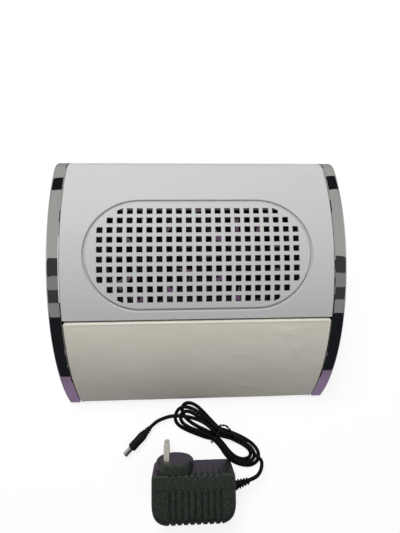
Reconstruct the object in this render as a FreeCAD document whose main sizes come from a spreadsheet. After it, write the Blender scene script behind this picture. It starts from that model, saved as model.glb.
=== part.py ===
"""Nail dust collector: an arched table-top extractor with two fans, a padded hand rest and its adapter.

Millimetres, +Z up, -Y towards the user, origin on the table under the middle of the housing.
The sheet "dims" holds the driving sizes and the sheet "layout" what follows from them.
"""
import FreeCAD
import Part
import math
import os
import Sketcher
from FreeCAD import Placement, Rotation, Vector

doc = FreeCAD.newDocument("nail_dust_collector")

# ---------------------------------------------------------------- driving sizes
DIMS = {
    # housing
    "body_width": 280.0,
    "body_depth": 250.0,
    "body_height": 95.0,
    "arch_radius": 190.0,
    "shoulder_radius": 25.0,
    "wall": 2.5,
    "rim_height": 4.0,
    "shell_edge_fillet": 1.6,
    "cap_width": 11.4,
    "cap_wall": 2.4,
    "cap_edge": 1.5,
    "seam": 0.3,
    "clearance": 0.3,
    # hand rest
    "pad_angle": 22.6,
    "pad_thickness": 10.0,
    "pad_board": 2.5,
    "pad_cover": 1.2,
    "pad_seam": 1.2,
    "pad_corner": 2.5,
    "rest_screw_top_angle": 28.0,
    "rest_screw_low_angle": 48.0,
    "rest_screw_inset": 48.0,
    # lattice
    "hole_pitch": 9.168,
    "hole_side": 5.7,
    "hole_rows": 10.0,
    "hole_columns": 21.0,
    "lattice_angle": 3.9,
    "lattice_margin": 3.4,
    "lattice_side_margin": 6.6,
    "groove_margin": 8.5,
    "groove_side_margin": 12.9,
    "groove_width": 2.4,
    "groove_depth": 1.2,
    "smallest_hole": 0.12,
    # fans
    "fan_side": 92.0,
    "fan_thickness": 25.0,
    "fan_gap": 0.8,
    "fan_rim": 2.0,
    "fan_headroom": 16.0,
    "fan_corner": 5.0,
    "fan_flange": 3.0,
    "fan_hole_inset": 4.75,
    "fan_hole": 4.3,
    "hub_diameter": 36.0,
    "hub_depth": 17.0,
    "hub_wall": 1.5,
    "blade_count": 9.0,
    "blade_thickness": 1.3,
    "blade_root_angle": 48.0,
    "blade_tip_angle": 28.0,
    "blade_flare": 0.25,
    "blade_gap": 1.0,
    "strut_count": 4.0,
    "strut_width": 5.0,
    "motor_plate": 3.0,
    "shaft_diameter": 3.0,
    "shaft_fit": 0.04,
    "shaft_boss_wall": 2.0,
    "shaft_boss_depth": 3.0,
    "bearing_diameter": 8.0,
    "bearing_length": 12.0,
    "sleeve_wall": 2.0,
    "sleeve_height": 16.0,
    "magnet_wall": 1.6,
    "magnet_height": 12.0,
    "magnet_lift": 2.0,
    "stator_diameter": 26.0,
    "stator_height": 8.0,
    "stator_slot": 4.4,
    "stator_slot_shift": 1.0,
    "pole_count": 4.0,
    "board_thickness": 1.2,
    # tray, base and feet
    "tray_thickness": 2.5,
    "tray_margin": 5.4,
    "tray_ear_wall": 2.0,
    "collar_depth": 12.0,
    "collar_wall": 2.0,
    "collar_inset": 2.0,
    "post_diameter": 8.0,
    "base_thickness": 3.0,
    "base_border": 24.0,
    "base_post_front": 62.0,
    "base_post_back": 40.0,
    "boss_front": 42.0,
    "boss_front_height": 24.0,
    "boss_top_height": 74.0,
    "boss_back": 14.0,
    "boss_back_height": 30.0,
    "foot_diameter": 16.0,
    "foot_inset_side": 22.0,
    "foot_inset_front": 26.0,
    "foot_inset_back": 20.0,
    "foot_edge": 1.0,
    "screw_diameter": 3.0,
    "screw_head": 5.6,
    "screw_head_height": 2.0,
    "screw_depth": 8.0,
    # rear face
    "exit_width": 150.0,
    "exit_height": 40.0,
    "control_height": 34.0,
    "switch_inset": 24.3,
    "inlet_inset": 28.3,
    "switch_length": 21.0,
    "switch_height": 15.0,
    "switch_body_length": 19.0,
    "switch_body_height": 13.0,
    "switch_body_depth": 13.0,
    "switch_flange": 2.0,
    "trunnion_wall": 0.6,
    "terminal_pitch": 9.0,
    "terminal_width": 4.8,
    "terminal_thickness": 0.8,
    "terminal_length": 7.0,
    "rocker_length": 14.6,
    "rocker_height": 9.6,
    "rocker_tilt": 10.0,
    "rocker_face": 12.0,
    "rocker_sink": 2.2,
    "rocker_pin": 2.0,
    "rocker_nose": 4.1,
    "rocker_skirt": 1.0,
    "rocker_valley": 1.4,
    "inlet_diameter": 11.0,
    "inlet_thread": 8.0,
    "inlet_bore": 5.7,
    "inlet_length": 14.0,
    "inlet_pin": 2.0,
    "inlet_nut": 2.4,
    # adapter and its lead
    "adapter_width": 85.0,
    "adapter_depth": 50.0,
    "adapter_height": 39.0,
    "adapter_place_x": -6.5,
    "adapter_place_y": -217.0,
    "adapter_front_depth": 14.0,
    "adapter_corner": 4.0,
    "adapter_edge": 3.0,
    "adapter_far_corner": 16.0,
    "adapter_rib_pitch": 6.2,
    "adapter_rib_count": 9.0,
    "adapter_rib_width": 2.6,
    "adapter_rib_depth": 0.9,
    "adapter_rib_shift": 2.0,
    "adapter_rib_gap": 3.0,
    "disc_diameter": 38.6,
    "disc_depth": 9.5,
    "disc_edge": 1.5,
    "disc_shift": -19.0,
    "blade_pin_width": 6.35,
    "blade_pin_thickness": 1.6,
    "blade_pin_length": 17.0,
    "blade_pin_pitch": 13.7,
    "blade_pin_shift": -8.5,
    "blade_pin_slant": 30.0,
    "relief_place_y": -211.0,
    "relief_root": 2.0,
    "relief_turn": 15.0,
    "relief_length": 16.0,
    "relief_diameter": 8.6,
    "relief_count": 4.0,
    "relief_step": 0.7,
    "relief_groove": 1.0,
    "relief_crest": 0.55,
    "cord_diameter": 3.9,
    "hank_height": 9.6,
    "hank_lift": 0.2,
    "hank_place_x": 24.0,
    "hank_place_y": -161.0,
    "hank_turn": -32.0,
    "hank_waist": 14.0,
    "hank_near_loop": 29.0,
    "hank_near_reach": 35.0,
    "hank_far_loop": 23.0,
    "hank_far_reach": 43.0,
    "hank_bundle": 6.0,
    "tie_width": 2.4,
    "tie_thickness": 1.0,
    "hank_eye_start": 0.3,
    "plug_place_x": -52.5,
    "plug_place_y": -154.9,
    "plug_turn": -134.5,
    "plug_grip_length": 29.0,
    "plug_grip_diameter": 9.6,
    "plug_neck_diameter": 5.6,
    "plug_boot_length": 11.0,
    "plug_ridge_depth": 0.7,
    "plug_lift": 0.1,
    "plug_barrel_wall": 0.4,
    "plug_bore": 2.1,
    "plug_barrel_diameter": 5.5,
    "plug_barrel_length": 9.5,
}

# ---------------------------------------------------------------- sizes that follow
LAYOUT = {
    "rocker_half": "dims.rocker_length / 2 * cos(dims.rocker_face)",
    "rocker_lift": "dims.rocker_length / 2 * sin(dims.rocker_face)",
    "rocker_proud": "rocker_lift * cos(dims.rocker_tilt) + rocker_half * sin(dims.rocker_tilt)",
    "rear_reach": "dims.switch_flange - dims.rocker_sink + rocker_proud",
    "front": "-(dims.body_depth + rear_reach) / 2",
    "back": "front + dims.body_depth",
    "arch_z": "dims.body_height - dims.arch_radius",
    "arch_y": "front + sqrt(dims.arch_radius ^ 2 - (dims.rim_height - arch_z) ^ 2)",
    "shoulder_y": "back - dims.shoulder_radius",
    "shoulder_run": "dims.arch_radius - dims.shoulder_radius",
    "shoulder_z": "arch_z + sqrt(shoulder_run ^ 2 - (shoulder_y - arch_y) ^ 2)",
    "shoulder_angle": "asin((shoulder_y - arch_y) / shoulder_run) / 1 deg",
    "shell_half": "dims.body_width / 2 - dims.cap_width - dims.seam",
    "bed_radius": "dims.arch_radius - dims.pad_thickness",
    "wall_angle": "dims.wall / dims.arch_radius * 180 / pi",
    "pad_top_angle": "dims.pad_angle + dims.pad_seam / dims.arch_radius * 180 / pi",
    "lattice_y": "arch_y - dims.arch_radius * sin(dims.lattice_angle)",
    "lattice_reach": "(dims.hole_rows - 1) * dims.hole_pitch / 2 + dims.hole_side / 2",
    "lattice_run": "(dims.hole_columns - 1) * dims.hole_pitch / 2 + dims.hole_side / 2",
    "lattice_half": "lattice_reach + dims.lattice_margin",
    "groove_half": "lattice_reach + dims.groove_margin",
    "groove_run": "lattice_run + dims.groove_side_margin",
    "fan_x": "(dims.fan_side + dims.fan_gap) / 2",
    "fan_bore": "dims.fan_side - 2 * dims.fan_rim",
    "fan_hole_pitch": "dims.fan_side - 2 * dims.fan_hole_inset",
    "fan_top": "dims.body_height - dims.fan_headroom",
    "fan_base": "fan_top - dims.fan_thickness",
    "sleeve_diameter": "dims.bearing_diameter + 2 * dims.sleeve_wall",
    "sleeve_room": "sleeve_diameter + 2 * dims.seam",
    "tray_base": "fan_base - dims.tray_thickness",
    "tray_half_x": "fan_x + dims.fan_side / 2 + dims.tray_margin",
    "tray_half_y": "dims.fan_side / 2 + dims.tray_margin",
    "post_x": "tray_half_x + dims.post_diameter / 2 - 1",
    "post_y": "tray_half_y - dims.post_diameter",
    "base_top": "dims.rim_height + dims.base_thickness",
    "base_half": "shell_half - dims.wall - dims.clearance",
    "foot_x": "shell_half - dims.foot_inset_side",
    "foot_front": "front + dims.foot_inset_front + dims.pad_thickness",
    "foot_back": "back - dims.foot_inset_back",
    "switch_x": "dims.switch_inset - shell_half",
    "inlet_x": "shell_half - dims.inlet_inset",
    "adapter_mid": "dims.adapter_height / 2",
    "adapter_near": "dims.adapter_place_y + dims.adapter_depth / 2",
    "adapter_far": "dims.adapter_place_y - dims.adapter_depth / 2",
    "adapter_seam": "adapter_near - dims.adapter_front_depth",
    "adapter_left": "dims.adapter_place_x - dims.adapter_width / 2",
    "adapter_right": "dims.adapter_place_x + dims.adapter_width / 2",
    "disc_x": "dims.adapter_place_x + dims.disc_shift",
    "plug_axis": "dims.plug_grip_diameter / 2 + dims.plug_lift",
    "insert_diameter": "dims.plug_barrel_diameter - 2 * dims.plug_barrel_wall - 2 * dims.shaft_fit",
}


def fill_sheet(name, rows, formulas):
    """Write one row per value, its name in column A and the value or formula in column B."""
    sheet = doc.addObject("Spreadsheet::Sheet", name)
    for number, (alias, content) in enumerate(rows.items(), start=1):
        sheet.set(f"A{number}", alias)
        sheet.set(f"B{number}", f"={content}" if formulas else str(content))
        sheet.setAlias(f"B{number}", alias)
    doc.recompute()
    return sheet


dims = fill_sheet("dims", DIMS, formulas=False)
layout = fill_sheet("layout", LAYOUT, formulas=True)
parts = {}


def value(formula):
    """Work out a formula that names cells of the two sheets."""
    result = layout.evalExpression(str(formula))
    return float(getattr(result, "Value", result))


# ---------------------------------------------------------------- helpers
def origin_plane(body, role):
    """Find one of a body's own origin planes by its role."""
    return next(item for item in body.Origin.OriginFeatures if item.Role == role)


def new_body(name):
    """Start a PartDesign body, which may hold several solids when it stands for a set."""
    body = doc.addObject("PartDesign::Body", name)
    body.Label = name
    body.AllowCompound = True
    return body


def add_sketch(body, role, offset="0", centre=("0", "0")):
    """Attach a sketch to an origin plane of its body, moved along the normal and to a centre."""
    sketch = body.newObject("Sketcher::SketchObject", f"{body.Name}_sketch")
    sketch.AttachmentSupport = [(origin_plane(body, role), "")]
    sketch.MapMode = "FlatFace"
    for axis, formula in zip("xyz", (*centre, offset)):
        sketch.setExpression(f".AttachmentOffset.Base.{axis}", str(formula))
    return sketch


def bind(sketch, kind, *arguments, size):
    """Add one dimension to a sketch and tie it to a formula."""
    index = sketch.addConstraint(Sketcher.Constraint(kind, *arguments, value(size)))
    sketch.setExpression(f"Constraints[{index}]", str(size))


def arc_through(start, end, radius):
    """Give the anticlockwise arc between two points and whether it begins at the first one.

    A positive radius bulges to the right of the way from start to end, a negative one to the left.
    """
    chord = end - start
    middle = (start + end) * 0.5
    right = Vector(chord.y, -chord.x, 0).normalize()
    rise = math.sqrt(max(radius ** 2 - (chord.Length / 2) ** 2, 0))
    centre = middle - right * math.copysign(rise, radius)
    forward = radius > 0
    first, last = (start, end) if forward else (end, start)
    angles = [math.atan2(point.y - centre.y, point.x - centre.x) for point in (first, last)]
    if angles[1] < angles[0]:
        angles[1] += 2 * math.pi
    circle = Part.Circle(centre, Vector(0, 0, 1), abs(radius))
    return Part.ArcOfCircle(circle, *angles), forward


def add_outline(sketch, corners):
    """Draw a closed outline; a corner is (across, up) or (across, up, radius of the next edge)."""
    points = [Vector(value(corner[0]), value(corner[1]), 0) for corner in corners]
    ends = []
    for index, corner in enumerate(corners):
        start, end = points[index], points[(index + 1) % len(points)]
        if len(corner) == 3:
            curve, forward = arc_through(start, end, value(corner[2]))
            edge = sketch.addGeometry(curve, False)
            ends.append((edge, 1, 2) if forward else (edge, 2, 1))
            size = corner[2] if forward else f"-({corner[2]})"
            bind(sketch, "Radius", edge, size=size)
        else:
            ends.append((sketch.addGeometry(Part.LineSegment(start, end), False), 1, 2))
    for index, (edge, first, last) in enumerate(ends):
        after = ends[(index + 1) % len(ends)]
        sketch.addConstraint(Sketcher.Constraint("Coincident", edge, last, after[0], after[1]))
        bind(sketch, "DistanceX", -1, 1, edge, first, size=corners[index][0])
        bind(sketch, "DistanceY", -1, 1, edge, first, size=corners[index][1])


def add_box(sketch, left, right, low, high):
    """Draw a rectangle between two pairs of formulas."""
    add_outline(sketch, [(left, low), (right, low), (right, high), (left, high)])


def add_circle(sketch, across, up, diameter):
    """Draw a circle about a point given by two formulas."""
    centre = Vector(value(across), value(up), 0)
    edge = sketch.addGeometry(Part.Circle(centre, Vector(0, 0, 1), value(diameter) / 2), False)
    bind(sketch, "Diameter", edge, size=diameter)
    bind(sketch, "DistanceX", -1, 1, edge, 3, size=across)
    bind(sketch, "DistanceY", -1, 1, edge, 3, size=up)


def extrude(body, kind, sketch, length, sides="One side", backwards=False):
    """Add a Pad or a Pocket of a sketch to its body."""
    feature = body.newObject(f"PartDesign::{kind}", f"{body.Name}_{kind.lower()}")
    feature.Profile = sketch
    feature.SideType = sides
    feature.Reversed = backwards
    feature.setExpression("Length", str(length))
    sketch.Visibility = False
    return feature


def revolve(body, sketch, axis):
    """Turn a sketch a full round about one of its own axes."""
    feature = body.newObject("PartDesign::Revolution", f"{body.Name}_turn")
    feature.Profile = sketch
    feature.ReferenceAxis = (sketch, [axis])
    feature.Angle = 360
    return feature


def repeat_round(body, feature, sketch, count):
    """Repeat a feature round the normal through its sketch's origin."""
    pattern = body.newObject("PartDesign::PolarPattern", f"{body.Name}_round")
    pattern.Originals = [feature]
    pattern.Axis = (sketch, ["N_Axis"])
    pattern.Angle = 360
    pattern.setExpression("Occurrences", count)
    body.Tip = pattern
    return pattern


def place_body(body, across, along, up, turn):
    """Set a body that was drawn about its own origin at a place, turned about the upright axis."""
    body.Placement.Rotation = Rotation(Vector(0, 0, 1), value(turn))
    for axis, formula in zip("xyz", (across, along, up)):
        body.setExpression(f".Placement.Base.{axis}", str(formula))
    body.setExpression(".Placement.Rotation.Angle", str(turn))


def lean_body(body, angle):
    """Turn a body that was drawn about the arch's axis forward by an angle."""
    body.Placement.Rotation = Rotation(Vector(1, 0, 0), value(angle))
    body.setExpression(".Placement.Base.y", "layout.arch_y")
    body.setExpression(".Placement.Base.z", "layout.arch_z")
    body.setExpression(".Placement.Rotation.Angle", str(angle))


def ease_edges(body, kind, size, wanted):
    """Fillet or chamfer the edges of a body's newest feature that the test picks."""
    doc.recompute()
    tip = body.Tip
    names = [f"Edge{number}" for number, edge in enumerate(tip.Shape.Edges, start=1) if wanted(edge)]
    feature = body.newObject(f"PartDesign::{kind}", f"{body.Name}_{kind.lower()}")
    feature.Base = (tip, names)
    feature.setExpression("Radius" if kind == "Fillet" else "Size", str(size))
    return feature


def box_object(name, low, high):
    """A Part::Box between two corners, each given by three formulas."""
    box = doc.addObject("Part::Box", name)
    for axis, side, start, end in zip("xyz", ("Length", "Width", "Height"), low, high):
        box.setExpression(side, f"({end}) - ({start})")
        box.setExpression(f"Placement.Base.{axis}", str(start))
    return box


DIRECTIONS = {
    "x": Rotation(Vector(0, 1, 0), 90),
    "y": Rotation(Vector(1, 0, 0), -90),
    "z": Rotation(),
}


def cylinder_object(name, base, diameter, height, axis="z"):
    """A Part::Cylinder that stands on a point given by three formulas."""
    cylinder = doc.addObject("Part::Cylinder", name)
    cylinder.Placement.Rotation = DIRECTIONS[axis]
    cylinder.setExpression("Radius", f"({diameter}) / 2")
    cylinder.setExpression("Height", str(height))
    for letter, formula in zip("xyz", base):
        cylinder.setExpression(f"Placement.Base.{letter}", str(formula))
    return cylinder


def fuse(name, *pieces):
    """Join pieces into one solid."""
    joined = doc.addObject("Part::MultiFuse", name)
    joined.Shapes = list(pieces)
    return joined


def cut(name, base, *tools):
    """Take tools away from a base."""
    tool = tools[0] if len(tools) == 1 else fuse(f"{name}_tools", *tools)
    rest = doc.addObject("Part::Cut", name)
    rest.Base = base
    rest.Tool = tool
    return rest


def common(name, first, second):
    """Keep what two pieces share."""
    shared = doc.addObject("Part::Common", name)
    shared.Base = first
    shared.Tool = second
    return shared


def shape_object(name, shape):
    """Hold a shape that Part's own functions made."""
    feature = doc.addObject("Part::Feature", name)
    feature.Shape = shape
    return feature


def keep(name, piece):
    """Register a finished sub-part under the name of its file."""
    piece.Label = name
    parts[name] = piece
    return piece


def on_arch(radius, angle):
    """A point in the side profile at a radius and an angle in front of the arch's top."""
    return (f"layout.arch_y - ({radius}) * sin({angle})", f"layout.arch_z + ({radius}) * cos({angle})")


def arch_at_height(radius, height):
    """The point in front where a radius of the arch meets a height."""
    return (f"layout.arch_y - sqrt(({radius}) ^ 2 - ({height} - layout.arch_z) ^ 2)", height)


def back_corners(inset, low):
    """Corners shared by every side profile: along the floor, up the back and over the shoulder."""
    back = f"layout.back - {inset}"
    shoulder = on_arch(f"dims.arch_radius - {inset}", "-layout.shoulder_angle")
    return [
        (back, low),
        (back, "layout.shoulder_z", f"dims.shoulder_radius - {inset}"),
        (*shoulder, f"dims.arch_radius - {inset}"),
    ]


def full_profile(inset, low):
    """The whole D-shaped side profile, inset all round."""
    return [arch_at_height(f"dims.arch_radius - {inset}", low), *back_corners(inset, low)]


def stepped_profile(inset, low):
    """The side profile with the step down to the bed of the hand rest."""
    gap = f"dims.pad_angle - {inset} / dims.wall * layout.wall_angle"
    bed = f"layout.bed_radius - {inset}"
    return [
        arch_at_height(bed, low),
        *back_corners(inset, low),
        on_arch(f"dims.arch_radius - {inset}", gap),
        (*on_arch(bed, gap), bed),
    ]


def at_height(edge, height):
    """Tell whether an edge lies wholly at a height."""
    return abs(edge.BoundBox.ZMin - height) < 0.01 and abs(edge.BoundBox.ZMax - height) < 0.01


def at_side(edge, across):
    """Tell whether an edge lies wholly in a plane across the housing."""
    return abs(edge.BoundBox.XMin - across) < 0.01 and abs(edge.BoundBox.XMax - across) < 0.01


# ---------------------------------------------------------------- housing
SHELL_POSTS = [(side, end) for side in (-1, 1) for end in (-1, 1)]
BASE_POST_ENDS = ("layout.front + dims.base_post_front", "layout.back - dims.base_post_back")
BASE_POSTS = [(side, place) for side in (-1, 1) for place in BASE_POST_ENDS]
CAP_BOSSES = [
    ("layout.front + dims.boss_front", "dims.boss_front_height"),
    ("layout.arch_y", "dims.boss_top_height"),
    ("layout.back - dims.boss_back", "dims.boss_back_height"),
]


def post_places():
    """Where the posts that carry the fan tray stand, as pairs of formulas."""
    middle = "layout.lattice_y"
    return [(f"{side} * layout.post_x", f"{middle} + {end} * layout.post_y") for side, end in SHELL_POSTS]


def base_places():
    """Where the posts that carry the base frame stand, as pairs of formulas."""
    return [(f"{side} * (layout.base_half - dims.post_diameter)", place) for side, place in BASE_POSTS]


def make_shell_blank():
    """The arched cover as a box open below, with its bed for the hand rest."""
    body = new_body("shell_blank")
    outside = add_sketch(body, "YZ_Plane")
    add_outline(outside, stepped_profile("0", "dims.rim_height"))
    extrude(body, "Pad", outside, "2 * layout.shell_half", sides="Symmetric")
    ease_edges(body, "Fillet", "dims.shell_edge_fillet", is_shell_side_edge)
    inside = add_sketch(body, "YZ_Plane")
    add_outline(inside, stepped_profile("dims.wall", "dims.rim_height - 1"))
    extrude(body, "Pocket", inside, "2 * (layout.shell_half - dims.wall)", sides="Symmetric")
    return body


def is_shell_side_edge(edge):
    """Pick the long curved edges beside the lattice and at the shoulder."""
    half = value("layout.shell_half")
    box = edge.BoundBox
    lowest = value(on_arch("dims.arch_radius", "dims.pad_angle")[1]) - 0.01
    arched = box.ZMin > value("layout.shoulder_z") - 0.01 and box.YLength > 5 and box.ZMax > lowest
    return (at_side(edge, half) or at_side(edge, -half)) and arched


def make_posts(name, places, low, diameter):
    """Posts that hang from the inside of the arch down to a height."""
    body = new_body(name)
    sketch = add_sketch(body, "XY_Plane", low)
    for across, along in places:
        add_circle(sketch, across, along, diameter)
    extrude(body, "Pad", sketch, "dims.body_height")
    return body


def make_envelope():
    """The stepped profile as a full block just under the outer face, which trims what hangs inside."""
    body = new_body("shell_envelope")
    sketch = add_sketch(body, "YZ_Plane")
    add_outline(sketch, stepped_profile("dims.wall / 2", "dims.rim_height"))
    extrude(body, "Pad", sketch, "2 * layout.shell_half - dims.wall", sides="Symmetric")
    return body


def stadium(sketch, half_height, half_run):
    """Draw an oblong with round ends about the middle of the lattice."""
    low, high = (f"layout.lattice_y - ({half_height})", f"layout.lattice_y + ({half_height})")
    reach = f"({half_run}) - ({half_height})"
    tip = (f"{half_run}", "layout.lattice_y", half_height)
    other_tip = (f"-({half_run})", "layout.lattice_y", half_height)
    add_outline(sketch, [
        (f"-({reach})", low),
        (reach, low, half_height),
        tip,
        (reach, high),
        (f"-({reach})", high, half_height),
        other_tip,
    ])


def make_lattice_cutter():
    """The square holes of the lattice, trimmed at the corners by an oblong."""
    body = new_body("lattice_field")
    sketch = add_sketch(body, "XY_Plane", "layout.fan_top")
    stadium(sketch, "layout.lattice_half", "layout.lattice_run + dims.lattice_side_margin")
    extrude(body, "Pad", sketch, "dims.body_height")
    doc.recompute()
    pitch, side = value("dims.hole_pitch"), value("dims.hole_side")
    rows, columns = round(value("dims.hole_rows")), round(value("dims.hole_columns"))
    middle, low = value("layout.lattice_y"), value("layout.fan_top")
    holes = []
    for row in range(rows):
        for column in range(columns):
            left = (column - (columns - 1) / 2) * pitch - side / 2
            front = middle + (row - (rows - 1) / 2) * pitch - side / 2
            holes.append(Part.makeBox(side, side, value("dims.body_height"), Vector(left, front, low)))
    smallest = side * side * value("dims.body_height * dims.smallest_hole")
    trimmed = Part.makeCompound(holes).common(body.Shape)
    kept = [hole for hole in trimmed.Solids if hole.Volume > smallest]
    return shape_object("lattice_cutter", Part.makeCompound(kept))


def make_groove_cutter():
    """The shallow groove around the lattice, of even depth below the arch."""
    ring = new_body("groove_ring")
    outer = add_sketch(ring, "XY_Plane", "layout.fan_top")
    stadium(outer, "layout.groove_half", "layout.groove_run")
    extrude(ring, "Pad", outer, "dims.body_height")
    inner = add_sketch(ring, "XY_Plane", "layout.fan_top")
    stadium(inner, "layout.groove_half - dims.groove_width", "layout.groove_run - dims.groove_width")
    extrude(ring, "Pocket", inner, "dims.body_height", backwards=True)
    core = new_body("groove_core")
    under = add_sketch(core, "YZ_Plane")
    add_outline(under, full_profile("dims.groove_depth", "dims.rim_height"))
    extrude(core, "Pad", under, "dims.body_width", sides="Symmetric")
    return cut("groove_cutter", ring, core)


def make_rear_cutter():
    """Openings in the back wall: the bag's way out, the switch and the power inlet."""
    front, back = "layout.back - 3 * dims.wall", "layout.back + dims.wall"
    way_out = box_object(
        "exit_cutter",
        ("-dims.exit_width / 2", front, "dims.rim_height - 1"),
        ("dims.exit_width / 2", back, "dims.rim_height + dims.exit_height"),
    )
    switch = box_object(
        "switch_cutter",
        (
            "layout.switch_x - dims.switch_body_length / 2 - dims.seam",
            front,
            "dims.control_height - dims.switch_body_height / 2 - dims.seam",
        ),
        (
            "layout.switch_x + dims.switch_body_length / 2 + dims.seam",
            back,
            "dims.control_height + dims.switch_body_height / 2 + dims.seam",
        ),
    )
    inlet = cylinder_object(
        "inlet_cutter",
        ("layout.inlet_x", front, "dims.control_height"),
        "dims.inlet_thread + 2 * dims.seam",
        "4 * dims.wall",
        axis="y",
    )
    return fuse("rear_cutter", way_out, switch, inlet)


def make_screw_cutter():
    """Pilot holes in the posts and clear holes in the side walls."""
    tray = make_posts("tray_pilots", post_places(), "layout.fan_base - 1", "dims.screw_diameter + dims.seam")
    tray.Tip.setExpression("Length", "dims.screw_depth + 1")
    base = make_posts("base_pilots", base_places(), "layout.base_top - 1", "dims.screw_diameter + dims.seam")
    base.Tip.setExpression("Length", "dims.screw_depth + 1")
    sides = new_body("side_clear_holes")
    sketch = add_sketch(sides, "YZ_Plane")
    for along, up in CAP_BOSSES:
        add_circle(sketch, along, up, "dims.screw_diameter + dims.seam")
    extrude(sides, "Pad", sketch, "2 * layout.shell_half + 2", sides="Symmetric")
    return fuse("screw_cutter", tray, base, sides)


def make_top_shell(rest_holes):
    """The moulded cover: arch, lattice, groove, bed, posts and rear openings."""
    tray_posts = make_posts("tray_posts", post_places(), "layout.fan_base", "dims.post_diameter")
    base_posts = make_posts("base_posts", base_places(), "layout.base_top", "dims.post_diameter")
    posts = common("shell_posts", fuse("all_posts", tray_posts, base_posts), make_envelope())
    shell = fuse("shell_with_posts", make_shell_blank(), posts)
    cutters = [make_lattice_cutter(), make_groove_cutter(), make_rear_cutter(), make_screw_cutter()]
    cutters.append(rest_holes)
    return keep("top_shell", cut("top_shell", shell, *cutters))


def is_cap_edge(edge):
    """Pick the outer edge of the right side cap, but for its straight stretch at the foot."""
    return at_side(edge, value("dims.body_width / 2")) and not at_height(edge, value("dims.rim_height"))


def make_side_caps():
    """D-shaped covers for both ends, hollow towards the shell, with screw bosses inside."""
    body = new_body("right_side_cap")
    outside = add_sketch(body, "YZ_Plane", "dims.body_width / 2")
    add_outline(outside, full_profile("0", "dims.rim_height"))
    extrude(body, "Pad", outside, "dims.cap_width", backwards=True)
    ease_edges(body, "Chamfer", "dims.cap_edge", is_cap_edge)
    inside = add_sketch(body, "YZ_Plane", "dims.body_width / 2 - dims.cap_wall")
    add_outline(inside, full_profile("dims.cap_wall", "dims.rim_height + dims.cap_wall"))
    extrude(body, "Pocket", inside, "dims.cap_width")
    bosses = add_sketch(body, "YZ_Plane", "dims.body_width / 2 - dims.cap_wall")
    for along, up in CAP_BOSSES:
        add_circle(bosses, along, up, "dims.post_diameter")
        add_circle(bosses, along, up, "dims.screw_diameter + dims.seam")
    extrude(body, "Pad", bosses, "dims.cap_width - dims.cap_wall", backwards=True)
    keep("right_side_cap", body)
    other = doc.addObject("Part::Mirroring", "left_side_cap")
    other.Source = body
    other.Normal = Vector(1, 0, 0)
    keep("left_side_cap", other)


# ---------------------------------------------------------------- hand rest
def pad_profile(top, bottom, inset, low):
    """A slice of the arch in front of the gap, between two radii and above a height."""
    angle = f"layout.pad_top_angle + {inset} / dims.arch_radius * 180 / pi"
    return [
        arch_at_height(top, low),
        (*arch_at_height(bottom, low), f"-({bottom})"),
        on_arch(bottom, angle),
        (*on_arch(top, angle), top),
    ]


def make_rest_layer(name, top, bottom, inset):
    """One layer of the hand rest, as wide as the shell less an inset."""
    body = new_body(name)
    sketch = add_sketch(body, "YZ_Plane")
    add_outline(sketch, pad_profile(top, bottom, inset, f"dims.rim_height + dims.seam + {inset}"))
    extrude(body, "Pad", sketch, f"2 * (layout.shell_half - {inset})", sides="Symmetric")
    return body


REST_ANGLES = ("dims.rest_screw_top_angle", "dims.rest_screw_low_angle")


def rest_places():
    """Where the hand rest's screws stand along the arch's axis, as pairs of formulas."""
    return [(f"{side} * (layout.shell_half - dims.rest_screw_inset)", "0") for side in (-1, 1)]


def make_rest_holes():
    """Clear holes for the hand rest's screws through its bed and its board."""
    rows = []
    for number, angle in enumerate(REST_ANGLES):
        row = new_body(f"rest_holes_{number}")
        sketch = add_sketch(row, "XY_Plane", "layout.bed_radius - 2 * dims.wall")
        for across, along in rest_places():
            add_circle(sketch, across, along, "dims.screw_diameter + dims.seam")
        extrude(row, "Pad", sketch, "2 * dims.wall + dims.seam + dims.pad_board + dims.seam / 2")
        lean_body(row, angle)
        rows.append(row)
    return fuse("rest_holes", *rows)


def make_rest_screws():
    """Four screws from inside the bed into the board."""
    rows = []
    low = "layout.bed_radius - dims.wall - dims.shaft_fit"
    for number, angle in enumerate(REST_ANGLES):
        row = make_screws(f"rest_screws_{number}", rest_places(), "XY_Plane", low, False, "2 * dims.wall")
        lean_body(row, angle)
        rows.append(row)
    keep("hand_rest_screws", fuse("hand_rest_screws", *rows))


def make_hand_rest(rest_holes):
    """Board, foam and the cover that wraps round both."""
    seat = "layout.bed_radius + dims.seam"
    board_top = f"{seat} + dims.pad_board"
    foam_top = "dims.arch_radius - dims.pad_cover - dims.seam"
    cover_in = "dims.pad_cover"
    loose = "(dims.pad_cover + dims.seam)"
    board = make_rest_layer("board_blank", board_top, seat, loose)
    keep("hand_rest_board", cut("hand_rest_board", board, rest_holes))
    keep("hand_rest_foam", make_rest_layer("hand_rest_foam", foam_top, f"{board_top} + dims.seam", loose))
    cover = make_rest_layer("hand_rest_cover", "dims.arch_radius", seat, "0")
    ease_edges(cover, "Fillet", "dims.pad_corner", is_cover_edge)
    hollow = add_sketch(cover, "YZ_Plane")
    low = f"dims.rim_height + dims.seam + {cover_in}"
    add_outline(hollow, pad_profile("dims.arch_radius - dims.pad_cover", f"{seat} - 1", cover_in, low))
    extrude(cover, "Pocket", hollow, f"2 * (layout.shell_half - {cover_in})", sides="Symmetric")
    keep("hand_rest_cover", cover)


def is_cover_edge(edge):
    """Pick the four edges round the outer face of the cover."""
    middle = edge.valueAt((edge.FirstParameter + edge.LastParameter) / 2)
    reach = math.hypot(middle.y - value("layout.arch_y"), middle.z - value("layout.arch_z"))
    return abs(reach - value("dims.arch_radius")) < 0.01


# ---------------------------------------------------------------- fans
SIDES = {"left": -1, "right": 1}


def fan_centre(side):
    """The middle of one fan as a pair of formulas."""
    return f"{side} * layout.fan_x", "layout.lattice_y"


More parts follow.
